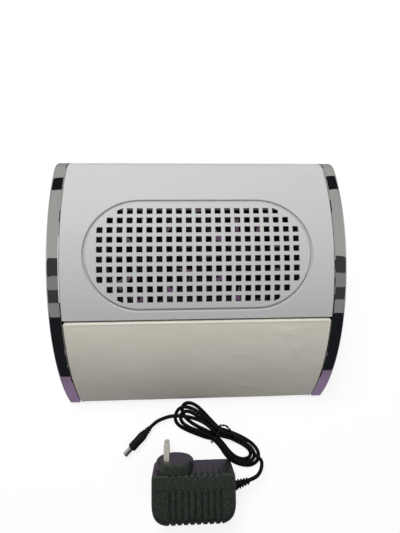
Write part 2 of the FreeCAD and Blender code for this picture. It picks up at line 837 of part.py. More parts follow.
def corner_places(centre, pitch):
    """Four places round a centre, half a pitch away each way."""
    across, along = centre
    half = f"({pitch}) / 2"
    return [(f"{across} + {x} * {half}", f"{along} + {y} * {half}") for x in (-1, 1) for y in (-1, 1)]


def add_square(sketch, centre, side, corner):
    """Draw a square with round corners about a centre."""
    half, arc = f"({side}) / 2", corner
    across, along = centre
    turns = [(1, -1, -1, 0, 0, 1), (1, 1, 0, -1, -1, 0), (-1, 1, 1, 0, 0, -1), (-1, -1, 0, 1, 1, 0)]
    outline = []
    for x, y, start_x, start_y, end_x, end_y in turns:
        corner_x, corner_y = f"{across} + {x} * {half}", f"{along} + {y} * {half}"
        outline.append((f"{corner_x} + {start_x} * {arc}", f"{corner_y} + {start_y} * {arc}", arc))
        outline.append((f"{corner_x} + {end_x} * {arc}", f"{corner_y} + {end_y} * {arc}"))
    add_outline(sketch, outline)


def make_fan_frame(name, centre):
    """Square frame: round duct, corner flanges, motor plate and struts."""
    body = new_body(name)
    duct = add_sketch(body, "XY_Plane", "layout.fan_base")
    add_circle(duct, *centre, "layout.fan_bore + 2 * dims.blade_thickness")
    add_circle(duct, *centre, "layout.fan_bore")
    extrude(body, "Pad", duct, "dims.fan_thickness")
    for level in ("layout.fan_base", "layout.fan_top - dims.fan_flange"):
        flange = add_sketch(body, "XY_Plane", level)
        add_square(flange, centre, "dims.fan_side", "dims.fan_corner")
        add_circle(flange, *centre, "layout.fan_bore")
        for place in corner_places(centre, "layout.fan_hole_pitch"):
            add_circle(flange, *place, "dims.fan_hole")
        extrude(body, "Pad", flange, "dims.fan_flange")
    plate = add_sketch(body, "XY_Plane", "layout.fan_base")
    add_circle(plate, *centre, "dims.hub_diameter")
    extrude(body, "Pad", plate, "dims.motor_plate")
    strut = add_sketch(body, "XY_Plane", "layout.fan_base", centre)
    reach = "layout.fan_bore / 2 + dims.blade_thickness / 2"
    add_box(strut, "dims.hub_diameter / 2 - 1", reach, "-dims.strut_width / 2", "dims.strut_width / 2")
    arm = extrude(body, "Pad", strut, "dims.motor_plate")
    repeat_round(body, arm, strut, "dims.strut_count")
    sleeve = add_sketch(body, "XY_Plane", "layout.fan_base")
    add_circle(sleeve, *centre, "layout.sleeve_diameter")
    extrude(body, "Pad", sleeve, "dims.sleeve_height")
    bore = add_sketch(body, "XY_Plane", "layout.fan_base + dims.motor_plate")
    add_circle(bore, *centre, "dims.bearing_diameter + 2 * dims.shaft_fit")
    extrude(body, "Pocket", bore, "dims.hub_depth", backwards=True)
    return keep(name, body)


def make_impeller(name, centre):
    """A cupped hub with twisted blades, open below over the motor."""
    hub = new_body(f"{name}_hub")
    low = "layout.fan_base + dims.motor_plate + dims.blade_gap"
    cup = add_sketch(hub, "XY_Plane", low)
    add_circle(cup, *centre, "dims.hub_diameter")
    extrude(hub, "Pad", cup, "dims.hub_depth + dims.hub_wall")
    hollow = add_sketch(hub, "XY_Plane", low)
    add_circle(hollow, *centre, "dims.hub_diameter - 2 * dims.hub_wall")
    extrude(hub, "Pocket", hollow, "dims.hub_depth", backwards=True)
    seat = add_sketch(hub, "XY_Plane", f"{low} + dims.hub_depth - dims.shaft_boss_depth")
    add_circle(seat, *centre, "dims.shaft_diameter + 2 * dims.shaft_boss_wall")
    add_circle(seat, *centre, "dims.shaft_diameter")
    extrude(hub, "Pad", seat, "dims.shaft_boss_depth")
    doc.recompute()
    middle = Vector(value(centre[0]), value(centre[1]), value(f"{low} + dims.hub_depth / 2"))
    height = value("dims.fan_thickness")
    reach = value("layout.fan_bore / 2 - dims.blade_gap")
    room = Part.makeCylinder(reach, height, middle - Vector(0, 0, height / 2))
    blades = [blade_shape(middle, turn).common(room) for turn in blade_turns()]
    return keep(name, shape_object(name, hub.Shape.fuse(blades).removeSplitter()))


def blade_turns():
    """The angle of each blade round the hub."""
    count = round(value("dims.blade_count"))
    return [360 / count * index for index in range(count)]


def blade_shape(middle, turn):
    """One blade: a plate whose slope falls from root to tip, over three sections."""
    root = value("dims.hub_diameter / 2 - dims.hub_wall / 2")
    tip = value("layout.fan_bore / 2")
    rise = value("dims.hub_depth - 2 * dims.blade_gap")
    steep, flat = value("dims.blade_root_angle"), value("dims.blade_tip_angle")
    thickness = value("dims.blade_thickness")
    rings = []
    for share in (0, 0.5, 1):
        slope = math.radians(steep + (flat - steep) * share)
        chord = rise / math.sin(math.radians(steep)) * (1 + value("dims.blade_flare") * share)
        along = Vector(0, math.cos(slope), math.sin(slope)) * (chord / 2)
        across = Vector(0, -math.sin(slope), math.cos(slope)) * (thickness / 2)
        station = Vector(root + (tip - root) * share, 0, 0)
        rings.append([station - along - across, station + along - across, station + along + across,
                      station - along + across])
    blade = flat_faced(rings)
    blade.Placement = Placement(middle, Rotation(Vector(0, 0, 1), turn))
    return blade


def flat_faced(rings):
    """A solid through rings of four corners each, every side split into two flat triangles."""
    faces = [polygon_face(rings[0][::-1]), polygon_face(rings[-1])]
    for inner, outer in zip(rings, rings[1:]):
        for spot in range(4):
            after = (spot + 1) % 4
            faces.append(polygon_face([inner[spot], inner[after], outer[after]]))
            faces.append(polygon_face([inner[spot], outer[after], outer[spot]]))
    return Part.Solid(Part.Shell(faces))


def polygon_face(corners):
    """A flat face with these corners."""
    return Part.Face(Part.makePolygon(corners + corners[:1]))


def make_fan_works(side_name, centre):
    """What turns and what drives it: magnet ring, shaft, bearing, stator and board."""
    low = "layout.fan_base + dims.motor_plate"
    inner = "dims.hub_diameter - 2 * dims.hub_wall"
    ring = new_body(f"magnet_ring_{side_name}")
    band = add_sketch(ring, "XY_Plane", f"{low} + dims.blade_gap + dims.magnet_lift")
    add_circle(band, *centre, inner)
    add_circle(band, *centre, f"{inner} - 2 * dims.magnet_wall")
    extrude(ring, "Pad", band, "dims.magnet_height")
    keep(f"magnet_ring_{side_name}", ring)
    shaft = new_body(f"fan_shaft_{side_name}")
    rod = add_sketch(shaft, "XY_Plane", f"{low} + dims.blade_gap")
    add_circle(rod, *centre, "dims.shaft_diameter")
    extrude(shaft, "Pad", rod, "dims.hub_depth")
    keep(f"fan_shaft_{side_name}", shaft)
    bearing = new_body(f"fan_bearing_{side_name}")
    bush = add_sketch(bearing, "XY_Plane", low)
    add_circle(bush, *centre, "dims.bearing_diameter")
    add_circle(bush, *centre, "dims.shaft_diameter + 2 * dims.shaft_fit")
    extrude(bearing, "Pad", bush, "dims.bearing_length")
    keep(f"fan_bearing_{side_name}", bearing)
    board = new_body(f"fan_board_{side_name}")
    disc = add_sketch(board, "XY_Plane", f"{low} + dims.clearance")
    add_circle(disc, *centre, "dims.stator_diameter")
    add_circle(disc, *centre, "layout.sleeve_room")
    extrude(board, "Pad", disc, "dims.board_thickness")
    keep(f"fan_board_{side_name}", board)
    make_stator(side_name, centre, f"{low} + 2 * dims.clearance + dims.board_thickness")


def make_stator(side_name, centre, low):
    """A ring on the motor's sleeve with four poles, each with a curved shoe."""
    stator = new_body(f"fan_stator_{side_name}")
    shoes = add_sketch(stator, "XY_Plane", low)
    add_circle(shoes, *centre, "dims.stator_diameter")
    add_circle(shoes, *centre, "layout.sleeve_room")
    extrude(stator, "Pad", shoes, "dims.stator_height")
    slot = add_sketch(stator, "XY_Plane", low, centre)
    reach = "(dims.stator_diameter + layout.sleeve_room) / 4 + dims.stator_slot_shift"
    add_circle(slot, reach, "0", "dims.stator_slot")
    hole = extrude(stator, "Pocket", slot, "dims.hub_depth", backwards=True)
    repeat_round(stator, hole, slot, "dims.pole_count")
    keep(f"fan_stator_{side_name}", stator)


def make_screws(name, places, plane, low, head_up, shank):
    """A set of pan-head screws on one plane: heads on it, shanks running on from it."""
    body = new_body(name)
    heads = add_sketch(body, plane, low)
    for across, along in places:
        add_circle(heads, across, along, "dims.screw_head")
    extrude(body, "Pad", heads, "dims.screw_head_height", backwards=not head_up)
    shanks = add_sketch(body, plane, low)
    for across, along in places:
        add_circle(shanks, across, along, "dims.screw_diameter")
    extrude(body, "Pad", shanks, shank, backwards=head_up)
    return body


def make_fans():
    """Both fans with what they hold."""
    for side_name, side in SIDES.items():
        centre = fan_centre(side)
        make_fan_frame(f"fan_frame_{side_name}", centre)
        make_impeller(f"impeller_{side_name}", centre)
        make_fan_works(side_name, centre)
    places = []
    for side in SIDES.values():
        places += corner_places(fan_centre(side), "layout.fan_hole_pitch")
    shank = "dims.fan_flange + dims.tray_thickness + 2"
    keep("fan_screws", make_screws("fan_screws", places, "XY_Plane", "layout.tray_base", False, shank))


# ---------------------------------------------------------------- tray, base and feet
def make_fan_tray():
    """The plate that carries both fans, with ears for its posts and a collar for the bag."""
    body = new_body("fan_tray")
    plate = add_sketch(body, "XY_Plane", "layout.tray_base")
    low, high = "layout.lattice_y - layout.tray_half_y", "layout.lattice_y + layout.tray_half_y"
    add_box(plate, "-layout.tray_half_x", "layout.tray_half_x", low, high)
    for side in SIDES.values():
        add_circle(plate, *fan_centre(side), "layout.fan_bore")
        for place in corner_places(fan_centre(side), "layout.fan_hole_pitch"):
            add_circle(plate, *place, "dims.screw_diameter + dims.seam")
    extrude(body, "Pad", plate, "dims.tray_thickness")
    ears = add_sketch(body, "XY_Plane", "layout.tray_base")
    for across, along in post_places():
        add_circle(ears, across, along, "dims.post_diameter + 2 * dims.tray_ear_wall")
    extrude(body, "Pad", ears, "dims.tray_thickness")
    holes = add_sketch(body, "XY_Plane", "layout.tray_base")
    for across, along in post_places():
        add_circle(holes, across, along, "dims.screw_diameter + dims.seam")
    extrude(body, "Pocket", holes, "dims.tray_thickness", backwards=True)
    collar = add_sketch(body, "XY_Plane", "layout.tray_base")
    for inset in ("dims.collar_inset", "dims.collar_inset + dims.collar_wall"):
        add_box(
            collar,
            f"-(layout.tray_half_x - ({inset}))",
            f"layout.tray_half_x - ({inset})",
            f"{low} + {inset}",
            f"{high} - ({inset})",
        )
    extrude(body, "Pad", collar, "dims.collar_depth", backwards=True)
    keep("fan_tray", body)
    low = "layout.tray_base"
    keep("tray_screws", make_screws("tray_screws", post_places(), "XY_Plane", low, False, "dims.screw_depth"))


def make_base_frame():
    """An open frame under the housing that stiffens it and carries the feet."""
    body = new_body("base_frame")
    plate = add_sketch(body, "XY_Plane", "dims.rim_height")
    front = f"{arch_at_height('layout.bed_radius - dims.wall', 'layout.base_top')[0]} + dims.clearance"
    back = "layout.back - dims.wall - dims.clearance"
    add_box(plate, "-layout.base_half", "layout.base_half", front, back)
    border = "dims.base_border"
    add_box(
        plate,
        f"-(layout.base_half - {border})",
        f"layout.base_half - {border}",
        f"{front} + {border}",
        f"{back} - {border}",
    )
    for across, along in base_places():
        add_circle(plate, across, along, "dims.screw_diameter + dims.seam")
    extrude(body, "Pad", plate, "dims.base_thickness")
    notch = add_sketch(body, "XY_Plane", "dims.rim_height")
    half = "dims.exit_width / 2"
    add_box(notch, f"-({half})", half, f"{back} - {border} - 1", f"{back} + 1")
    extrude(body, "Pocket", notch, "dims.base_thickness", backwards=True)
    keep("base_frame", body)
    low = "dims.rim_height"
    keep("base_screws", make_screws("base_screws", base_places(), "XY_Plane", low, False, "dims.screw_depth"))


def make_feet():
    """Four rubber feet under the base frame, each with a rounded lower edge."""
    for side_name, side in SIDES.items():
        for end_name, along in (("front", "layout.foot_front"), ("back", "layout.foot_back")):
            name = f"{end_name}_{side_name}_foot"
            foot = new_body(name)
            disc = add_sketch(foot, "XY_Plane")
            add_circle(disc, f"{side} * layout.foot_x", along, "dims.foot_diameter")
            extrude(foot, "Pad", disc, "dims.rim_height")
            ease_edges(foot, "Chamfer", "dims.foot_edge", lambda edge: at_height(edge, 0))
            keep(name, foot)


def make_side_screws():
    """Screws that run from inside the shell's side walls into the caps' bosses."""
    sets = []
    for side_name, side in SIDES.items():
        level = f"{side} * (layout.shell_half - dims.wall)"
        name = f"{side_name}_cap_screws"
        sets.append(make_screws(name, CAP_BOSSES, "YZ_Plane", level, side < 0, "dims.screw_depth"))
        keep(name, sets[-1])


# ---------------------------------------------------------------- rear controls
def make_switch():
    """A rocker switch in the back wall: housing, terminals and the rocker on its trunnions."""
    place, level = "layout.switch_x", "dims.control_height"
    wall_face = "layout.back"
    centre = (place, level)
    # the rear plane's normal points to the front, so an offset of minus y reaches y
    housing = new_body("switch_housing")
    flange = add_sketch(housing, "XZ_Plane", f"-({wall_face})", centre)
    add_box(flange, *spread("dims.switch_length", "dims.switch_height"))
    extrude(housing, "Pad", flange, "dims.switch_flange", backwards=True)
    bulk = add_sketch(housing, "XZ_Plane", f"-({wall_face})", centre)
    add_box(bulk, *spread("dims.switch_body_length", "dims.switch_body_height"))
    extrude(housing, "Pad", bulk, "dims.switch_body_depth")
    hollow = add_sketch(housing, "XZ_Plane", f"-({wall_face} + dims.switch_flange)", centre)
    room = "2 * dims.clearance"
    add_box(hollow, *spread(f"dims.rocker_length + 2 * ({room})", f"dims.rocker_height + {room}"))
    extrude(housing, "Pocket", hollow, "dims.switch_body_depth - 1", backwards=True)
    foot = f"{level} - dims.switch_body_height / 2 + dims.trunnion_wall"
    trunnion = add_sketch(housing, "XY_Plane", foot, rocker_pivot())
    add_circle(trunnion, "0", "0", "dims.rocker_pin + 2 * dims.shaft_fit")
    extrude(housing, "Pocket", trunnion, "dims.switch_body_height - 2 * dims.trunnion_wall", backwards=True)
    keep("switch_housing", housing)
    tabs = new_body("switch_terminals")
    base = add_sketch(tabs, "XZ_Plane", f"-({wall_face} - dims.switch_body_depth)", centre)
    for side in SIDES.values():
        middle, half = f"{side} * dims.terminal_pitch / 2", "dims.terminal_thickness / 2"
        width = "dims.terminal_width / 2"
        add_box(base, f"{middle} - {half}", f"{middle} + {half}", f"-{width}", width)
    extrude(tabs, "Pad", base, "dims.terminal_length")
    keep("switch_terminals", tabs)


def spread(length, height):
    """The four limits of a rectangle about its sketch's origin."""
    return f"-({length}) / 2", f"({length}) / 2", f"-({height}) / 2", f"({height}) / 2"


def rocker_pivot():
    """Where the rocker's trunnions stand, seen from above."""
    return "layout.switch_x", "layout.back + dims.switch_flange - dims.rocker_sink"


def make_rocker():
    """The rocker at rest, one end pressed in: two sloping faces on a drum with trunnions."""
    rocker = new_body("switch_rocker")
    low = "dims.control_height - dims.rocker_height / 2"
    side = add_sketch(rocker, "XY_Plane", low, rocker_pivot())
    half, lift = "layout.rocker_half", "layout.rocker_lift"
    corners = [
        (f"-({half})", "-dims.rocker_skirt"),
        ("0", "-dims.rocker_nose"),
        (half, "-dims.rocker_skirt"),
        (half, lift),
        ("0", f"{lift} - dims.rocker_valley"),
        (f"-({half})", lift),
    ]
    add_outline(side, corners)
    side.setExpression(".AttachmentOffset.Rotation.Angle", "-dims.rocker_tilt")
    extrude(rocker, "Pad", side, "dims.rocker_height")
    pins = add_sketch(rocker, "XY_Plane", "dims.control_height", rocker_pivot())
    add_circle(pins, "0", "0", "dims.rocker_pin")
    extrude(rocker, "Pad", pins, "dims.switch_body_height - 2", sides="Symmetric")
    keep("switch_rocker", rocker)


def make_inlet():
    """The round power inlet: flanged body with its socket, centre pin and fixing nut."""
    centre = ("layout.inlet_x", "dims.control_height")
    face = "layout.back"
    body = new_body("power_inlet")
    flange = add_sketch(body, "XZ_Plane", f"-({face})", centre)
    add_circle(flange, "0", "0", "dims.inlet_diameter")
    extrude(body, "Pad", flange, "dims.switch_flange", backwards=True)
    barrel = add_sketch(body, "XZ_Plane", f"-({face})", centre)
    add_circle(barrel, "0", "0", "dims.inlet_thread")
    extrude(body, "Pad", barrel, "dims.inlet_length")
    bore = add_sketch(body, "XZ_Plane", f"-({face} + dims.switch_flange)", centre)
    add_circle(bore, "0", "0", "dims.inlet_bore")
    extrude(body, "Pocket", bore, "dims.inlet_length", backwards=True)
    keep("power_inlet", body)
    pin = new_body("inlet_pin")
    rod = add_sketch(pin, "XZ_Plane", f"-({face} + dims.switch_flange - dims.inlet_length)", centre)
    add_circle(rod, "0", "0", "dims.inlet_pin")
    extrude(pin, "Pad", rod, "dims.inlet_length - 2", backwards=True)
    keep("inlet_pin", pin)
    nut = new_body("inlet_nut")
    ring = add_sketch(nut, "XZ_Plane", f"-({face} - dims.wall)", centre)
    flat = "dims.inlet_diameter / 2"
    edge = f"{flat} / cos(30)"
    add_outline(ring, [(f"{edge} * cos({60 * turn})", f"{edge} * sin({60 * turn})") for turn in range(6)])
    add_circle(ring, "0", "0", "dims.inlet_thread + dims.seam")
    extrude(nut, "Pad", ring, "dims.inlet_nut")
    keep("inlet_nut", nut)


# ---------------------------------------------------------------- adapter
def make_adapter_half(name, end, way, corner):
    """Half of the adapter's case: flat at the seam, with two round corners at its end as seen from above."""
    body = new_body(name)
    plan = add_sketch(body, "XY_Plane")
    first, last = ("layout.adapter_left", "layout.adapter_right")[::way]
    seam, inner = "layout.adapter_seam", f"{end} + {way} * {corner}"
    add_outline(plan, [
        (f"{first} + {way} * {corner}", end),
        (f"{last} - {way} * {corner}", end, corner),
        (last, inner),
        (last, seam),
        (first, seam),
        (first, inner, corner),
    ])
    extrude(body, "Pad", plan, "dims.adapter_height")
    ease_edges(body, "Fillet", "dims.adapter_edge", is_adapter_rim)
    return body


def carve_ribs(body, front, back, offset):
    """Cut the row of shallow grip grooves into the top and the underside of a case half."""
    for level, backwards in (("dims.adapter_height", False), ("0", True)):
        sketch = add_sketch(body, "XY_Plane", level, ("dims.adapter_place_x", "0"))
        for index in range(round(value("dims.adapter_rib_count"))):
            middle = f"({index} - (dims.adapter_rib_count - 1) / 2) * dims.adapter_rib_pitch + {offset}"
            half = "dims.adapter_rib_width / 2"
            add_box(sketch, f"{middle} - {half}", f"{middle} + {half}", front, back)
        extrude(body, "Pocket", sketch, "dims.adapter_rib_depth", backwards=backwards)


def make_adapter():
    """The wall-plug adapter: two case halves, plug disc, blades, blank label and strain relief."""
    seam, gap, shift = "layout.adapter_seam", "dims.adapter_rib_gap", "dims.adapter_rib_shift"
    far = make_adapter_half("adapter_case", "layout.adapter_far", 1, "dims.adapter_far_corner")
    carve_ribs(far, "layout.adapter_far + dims.adapter_far_corner", f"{seam} - {gap}", shift)
    keep("adapter_case", far)
    near = make_adapter_half("adapter_lid", "layout.adapter_near", -1, "dims.adapter_corner")
    carve_ribs(near, f"{seam} + {gap}", "layout.adapter_near - dims.adapter_corner", shift)
    keep("adapter_lid", near)
    disc = new_body("adapter_disc")
    face = add_sketch(disc, "XZ_Plane", "-layout.adapter_near", ("layout.disc_x", "layout.adapter_mid"))
    add_circle(face, "0", "0", "dims.disc_diameter")
    extrude(disc, "Pad", face, "dims.disc_depth", backwards=True)
    tip = "layout.adapter_near + dims.disc_depth"
    ease_edges(disc, "Chamfer", "dims.disc_edge", lambda edge: abs(edge.BoundBox.YMin - value(tip)) < 0.01)
    keep("adapter_disc", disc)
    blades = new_body("adapter_blades")
    for side in (-1, 1):
        up = f"layout.adapter_mid + {side} * dims.blade_pin_pitch / 2"
        place = ("layout.disc_x + dims.blade_pin_shift", up)
        blade = add_sketch(blades, "XZ_Plane", f"-({tip})", place)
        blade.setExpression(".AttachmentOffset.Rotation.Angle", f"{side} * dims.blade_pin_slant")
        add_box(blade, *spread("dims.blade_pin_width", "dims.blade_pin_thickness"))
        extrude(blades, "Pad", blade, "dims.blade_pin_length", backwards=True)
    keep("adapter_blades", blades)


def is_adapter_rim(edge):
    """Pick the edges round a case half's top and underside, but for the one on its seam."""
    flat = at_height(edge, value("dims.adapter_height")) or at_height(edge, 0)
    return flat and abs(edge.CenterOfMass.y - value("layout.adapter_seam")) > 0.01


# ---------------------------------------------------------------- the lead
ADAPTER_LEAD = [
    (59.1, -205.2, 19.2),
    (64.5, -201.2, 17.2),
    (67.6, -195.6, 14.0),
    (68.0, -189.4, 10.6),
    (65.6, -184.0, 8.0),
]
PLUG_LEAD = [(-20.0, -141.0, 4.9), (-29.0, -141.6, 4.9), (-37.2, -144.2, 4.9)]


def rounded_route(points):
    """Straight runs joined by tangent arcs, each as large as its two runs allow."""
    edges, radii, last = [], [], points[0]
    for before, corner, after in zip(points, points[1:], points[2:]):
        incoming, outgoing = (corner - before), (after - corner)
        reach = 0.45 * min(incoming.Length, outgoing.Length)
        turn = incoming.getAngle(outgoing)
        incoming.normalize()
        outgoing.normalize()
        start, end = corner - incoming * reach, corner + outgoing * reach
        radius = reach / math.tan(turn / 2)
        middle_way = (outgoing - incoming).normalize()
        centre = corner + middle_way * math.hypot(radius, reach)
        edges.append(Part.LineSegment(last, start).toShape())
        edges.append(Part.Arc(start, centre - middle_way * radius, end).toShape())
        radii.append(round(radius, 1))
        last = end
    edges.append(Part.LineSegment(last, points[-1]).toShape())
    return Part.Wire(edges), radii


def make_lead(name, points, diameter):
    """A round lead swept along its route."""
    path, radii = rounded_route([Vector(*point) for point in points])
    start = path.Edges[0]
    ring = Part.Wire(Part.makeCircle(diameter / 2, start.valueAt(start.FirstParameter), start.tangentAt(0)))
    tube = path.makePipeShell([ring], True, False)
    expected = ring_area(diameter) * path.Length
    print(f"{name}: radii {radii}, volume {tube.Volume:.1f}, expected {expected:.1f}")
    return keep(name, shape_object(name, tube))


def ring_area(diameter):
    """The area of a round section."""
    return math.pi * diameter ** 2 / 4


def ridged_profile(neck, full, ridged, length, ridges):
    """Half a section of a flexible boot: ridges that grow from the neck, then a plain grip."""
    step = f"({ridged}) / {2 * ridges}"
    outline = [("0", "0"), (length, "0"), (length, f"({full}) / 2")]
    if value(length) > value(ridged):
        outline.append((ridged, f"({full}) / 2"))
    for index in range(2 * ridges - 1, 0, -1):
        growth = f"(({neck}) + (({full}) - ({neck})) * {index} / {2 * ridges}) / 2"
        crest = growth if index % 2 else f"{growth} - dims.plug_ridge_depth"
        outline.append((f"{step} * ({index} + 1)", crest))
        outline.append((f"{step} * {index}", crest))
    outline.append(("0", f"({neck}) / 2"))
    return outline


def make_strain_relief():
    """A short collar on the case and a ribbed boot that leans along the lead."""
    body = new_body("strain_relief")
    root = add_sketch(body, "YZ_Plane", "layout.adapter_right", ("dims.relief_place_y", "layout.adapter_mid"))
    add_circle(root, "0", "0", "dims.relief_diameter")
    extrude(body, "Pad", root, "dims.relief_root")
    centre = ("layout.adapter_right + dims.relief_root / 2", "dims.relief_place_y")
    boot = add_sketch(body, "XY_Plane", "layout.adapter_mid", centre)
    boot.setExpression(".AttachmentOffset.Rotation.Angle", "dims.relief_turn")
    corners = [("0", "0"), ("dims.relief_length", "0")]
    pitch = "dims.relief_length / dims.relief_count"
    for index in range(round(value("dims.relief_count")), 0, -1):
        outer = f"(dims.relief_diameter - {index - 1} * dims.relief_step) / 2"
        inner = f"{outer} - dims.relief_groove"
        groove = f"{pitch} * ({index} - dims.relief_crest)"
        start = f"{pitch} * {index - 1}"
        corners += [(f"{pitch} * {index}", outer), (groove, outer), (groove, inner), (start, inner)]
    add_outline(boot, corners)
    revolve(body, boot, "H_Axis")
    keep("strain_relief", body)


def make_plug():
    """The barrel plug on the lead's free end: ridged grip, metal barrel and insulating insert."""
    place = ("dims.plug_place_x", "dims.plug_place_y", "layout.plug_axis", "dims.plug_turn")
    grip = new_body("plug_grip")
    side = add_sketch(grip, "XZ_Plane")
    full, neck, boot = "dims.plug_grip_diameter", "dims.plug_neck_diameter", "dims.plug_boot_length"
    add_outline(side, ridged_profile(neck, full, boot, "dims.plug_grip_length", 4))
    revolve(grip, side, "H_Axis")
    place_body(grip, *place)
    keep("plug_grip", grip)
    tubes = {
        "plug_barrel": ("dims.plug_barrel_diameter", "dims.plug_barrel_diameter - 2 * dims.plug_barrel_wall"),
        "plug_insert": ("layout.insert_diameter", "dims.plug_bore"),
    }
    for name, (outer, inner) in tubes.items():
        tube = new_body(name)
        ring = add_sketch(tube, "YZ_Plane", "dims.plug_grip_length")
        add_circle(ring, "0", "0", outer)
        add_circle(ring, "0", "0", inner)
        extrude(tube, "Pad", ring, "dims.plug_barrel_length")
        place_body(tube, *place)
        keep(name, tube)


def hank_outline(inset):
    """The outer line of the tied hank: two loops that run into a narrow waist."""
    near, far = f"dims.hank_near_loop / 2 - {inset}", f"dims.hank_far_loop / 2 - {inset}"
    waist = f"dims.hank_waist / 2 - {inset}"
    right, left = "dims.hank_near_reach", "-dims.hank_far_reach"
    return [
        ("0", f"-({waist})"),
        *round_end(right, near, 1),
        ("0", waist),
        *round_end(left, far, -1),
    ]


def round_end(reach, half, side):
    """Three corners that take an outline round the end of a loop."""
    return [
        (reach, f"-{side} * ({half})", half),
        (f"{reach} + {side} * ({half})", "0", half),
        (reach, f"{side} * ({half})"),
    ]


def make_hank():
    """The tied hank as one solid of its outer shape, with an eye at each end and a tied waist."""
    hank = new_body("lead_hank")
    plan = add_sketch(hank, "XY_Plane")
    add_outline(plan, hank_outline("0"))
    for side, end in ((1, "near"), (-1, "far")):
        reach, eye = f"{side} * dims.hank_{end}_reach", f"dims.hank_{end}_loop / 2 - dims.hank_bundle"
        add_outline(plan, [(f"{reach} * dims.hank_eye_start", "0"), *round_end(reach, eye, side)])
    extrude(hank, "Pad", plan, "dims.hank_height")
    band = add_sketch(hank, "YZ_Plane")
    reach, sink = "dims.hank_waist", "dims.tie_thickness + dims.seam"
    add_box(band, f"-({reach})", reach, "-1", "dims.hank_height + 1")
    add_box(band, *waist_section(sink))
    extrude(hank, "Pocket", band, "dims.tie_width + 2 * dims.seam", sides="Symmetric")
    tie = new_body("lead_tie")
    loop = add_sketch(tie, "YZ_Plane")
    add_box(loop, *waist_section("0"))
    add_box(loop, *waist_section("dims.tie_thickness"))
    extrude(tie, "Pad", loop, "dims.tie_width", sides="Symmetric")
    for body in (hank, tie):
        place_body(body, "dims.hank_place_x", "dims.hank_place_y", "dims.hank_lift", "dims.hank_turn")
        keep(body.Name, body)


def waist_section(inset):
    """The four limits of the hank's cross-section at the tie, inset all round."""
    half = "dims.hank_waist / 2"
    return f"-({half} - ({inset}))", f"{half} - ({inset})", inset, f"dims.hank_height - ({inset})"


def make_leads():
    """The two stretches of the lead that aren't coiled."""
    turn = math.radians(value("dims.relief_turn"))
    reach = value("dims.relief_length")
    start = Vector(value("layout.adapter_right + dims.relief_root / 2"), value("dims.relief_place_y"), 0)
    start += Vector(math.cos(turn), math.sin(turn), 0) * reach
    start.z = value("layout.adapter_mid")
    make_lead("adapter_lead", [start, *ADAPTER_LEAD], value("dims.cord_diameter"))
    heading = math.radians(value("dims.plug_turn"))
    end = Vector(value("dims.plug_place_x"), value("dims.plug_place_y"), value("layout.plug_axis"))
    before = end - Vector(math.cos(heading), math.sin(heading), 0) * 2 * value("dims.cord_diameter")
    make_lead("plug_lead", [*PLUG_LEAD, before, end], value("dims.cord_diameter"))


def build_all():
    """Make every sub-part in turn."""
    rest_holes = make_rest_holes()
    make_top_shell(rest_holes)
    make_side_caps()
    make_side_screws()
    make_hand_rest(rest_holes)
    make_rest_screws()
    make_fans()
    make_fan_tray()
    make_base_frame()
    make_feet()
    make_switch()
    make_rocker()
    make_inlet()
    make_adapter()
    make_strain_relief()
    make_plug()
    make_hank()
    make_leads()


# ---------------------------------------------------------------- build and write
def check_document():
    """Stop if any object failed or any sub-part has no sound shape."""
    failed = [item.Label for item in doc.Objects if {"Invalid", "Error"} & set(item.State)]
    unsound = [name for name, piece in parts.items() if piece.Shape.isNull() or not piece.Shape.isValid()]
    if failed or unsound:
        raise RuntimeError(f"failed: {failed}, unsound: {unsound}")


def write_parts():
    """Write one STEP file for each sub-part."""
    os.makedirs("parts", exist_ok=True)
    for name, piece in parts.items():
        piece.Shape.exportStep(f"parts/{name}.step")
        print(f"{name}: {len(piece.Shape.Solids)} solids, {piece.Shape.Volume:.0f} mm3")


build_all()
doc.recompute()
check_document()
write_parts()
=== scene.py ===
"""Dresses the nail dust collector: finishes, hand-rest cushion, bright side caps, lead, floor and light.

Lengths are in metres, apart from those said to be in millimetres, and colours are linear. The axes are the
frame's own: +X to the user's right, +Y away, +Z up.
"""
import logging
import math
from dataclasses import dataclass
from enum import Enum
from functools import cached_property

import bpy
from mathutils import Matrix, Vector, noise


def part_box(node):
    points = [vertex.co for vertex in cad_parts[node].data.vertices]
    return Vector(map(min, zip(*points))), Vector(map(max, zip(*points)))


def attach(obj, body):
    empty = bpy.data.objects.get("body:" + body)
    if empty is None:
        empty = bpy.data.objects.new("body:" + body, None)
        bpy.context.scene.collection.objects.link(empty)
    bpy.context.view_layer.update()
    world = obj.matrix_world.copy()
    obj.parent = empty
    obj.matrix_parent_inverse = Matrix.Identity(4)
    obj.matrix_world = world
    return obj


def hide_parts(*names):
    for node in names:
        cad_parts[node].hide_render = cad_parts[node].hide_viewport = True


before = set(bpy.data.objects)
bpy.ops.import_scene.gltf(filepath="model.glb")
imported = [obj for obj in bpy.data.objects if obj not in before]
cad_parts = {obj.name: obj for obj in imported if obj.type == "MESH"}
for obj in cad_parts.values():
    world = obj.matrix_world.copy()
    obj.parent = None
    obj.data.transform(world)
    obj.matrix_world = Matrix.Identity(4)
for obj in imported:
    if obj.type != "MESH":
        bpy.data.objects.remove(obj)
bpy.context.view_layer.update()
LOG = logging.getLogger("nail_dust_collector")
MM = 0.001
HOUSING = "housing"

Colour = tuple[float, float, float]
Face = tuple[int, ...]
Material = bpy.types.Material
Piece = bpy.types.Object
Socket = bpy.types.NodeSocket


# ---------------------------------------------------------------- node graphs
def dimmed(colour: Colour, factor: float) -> Colour:
    """A colour times a factor."""
    return tuple(channel * factor for channel in colour)


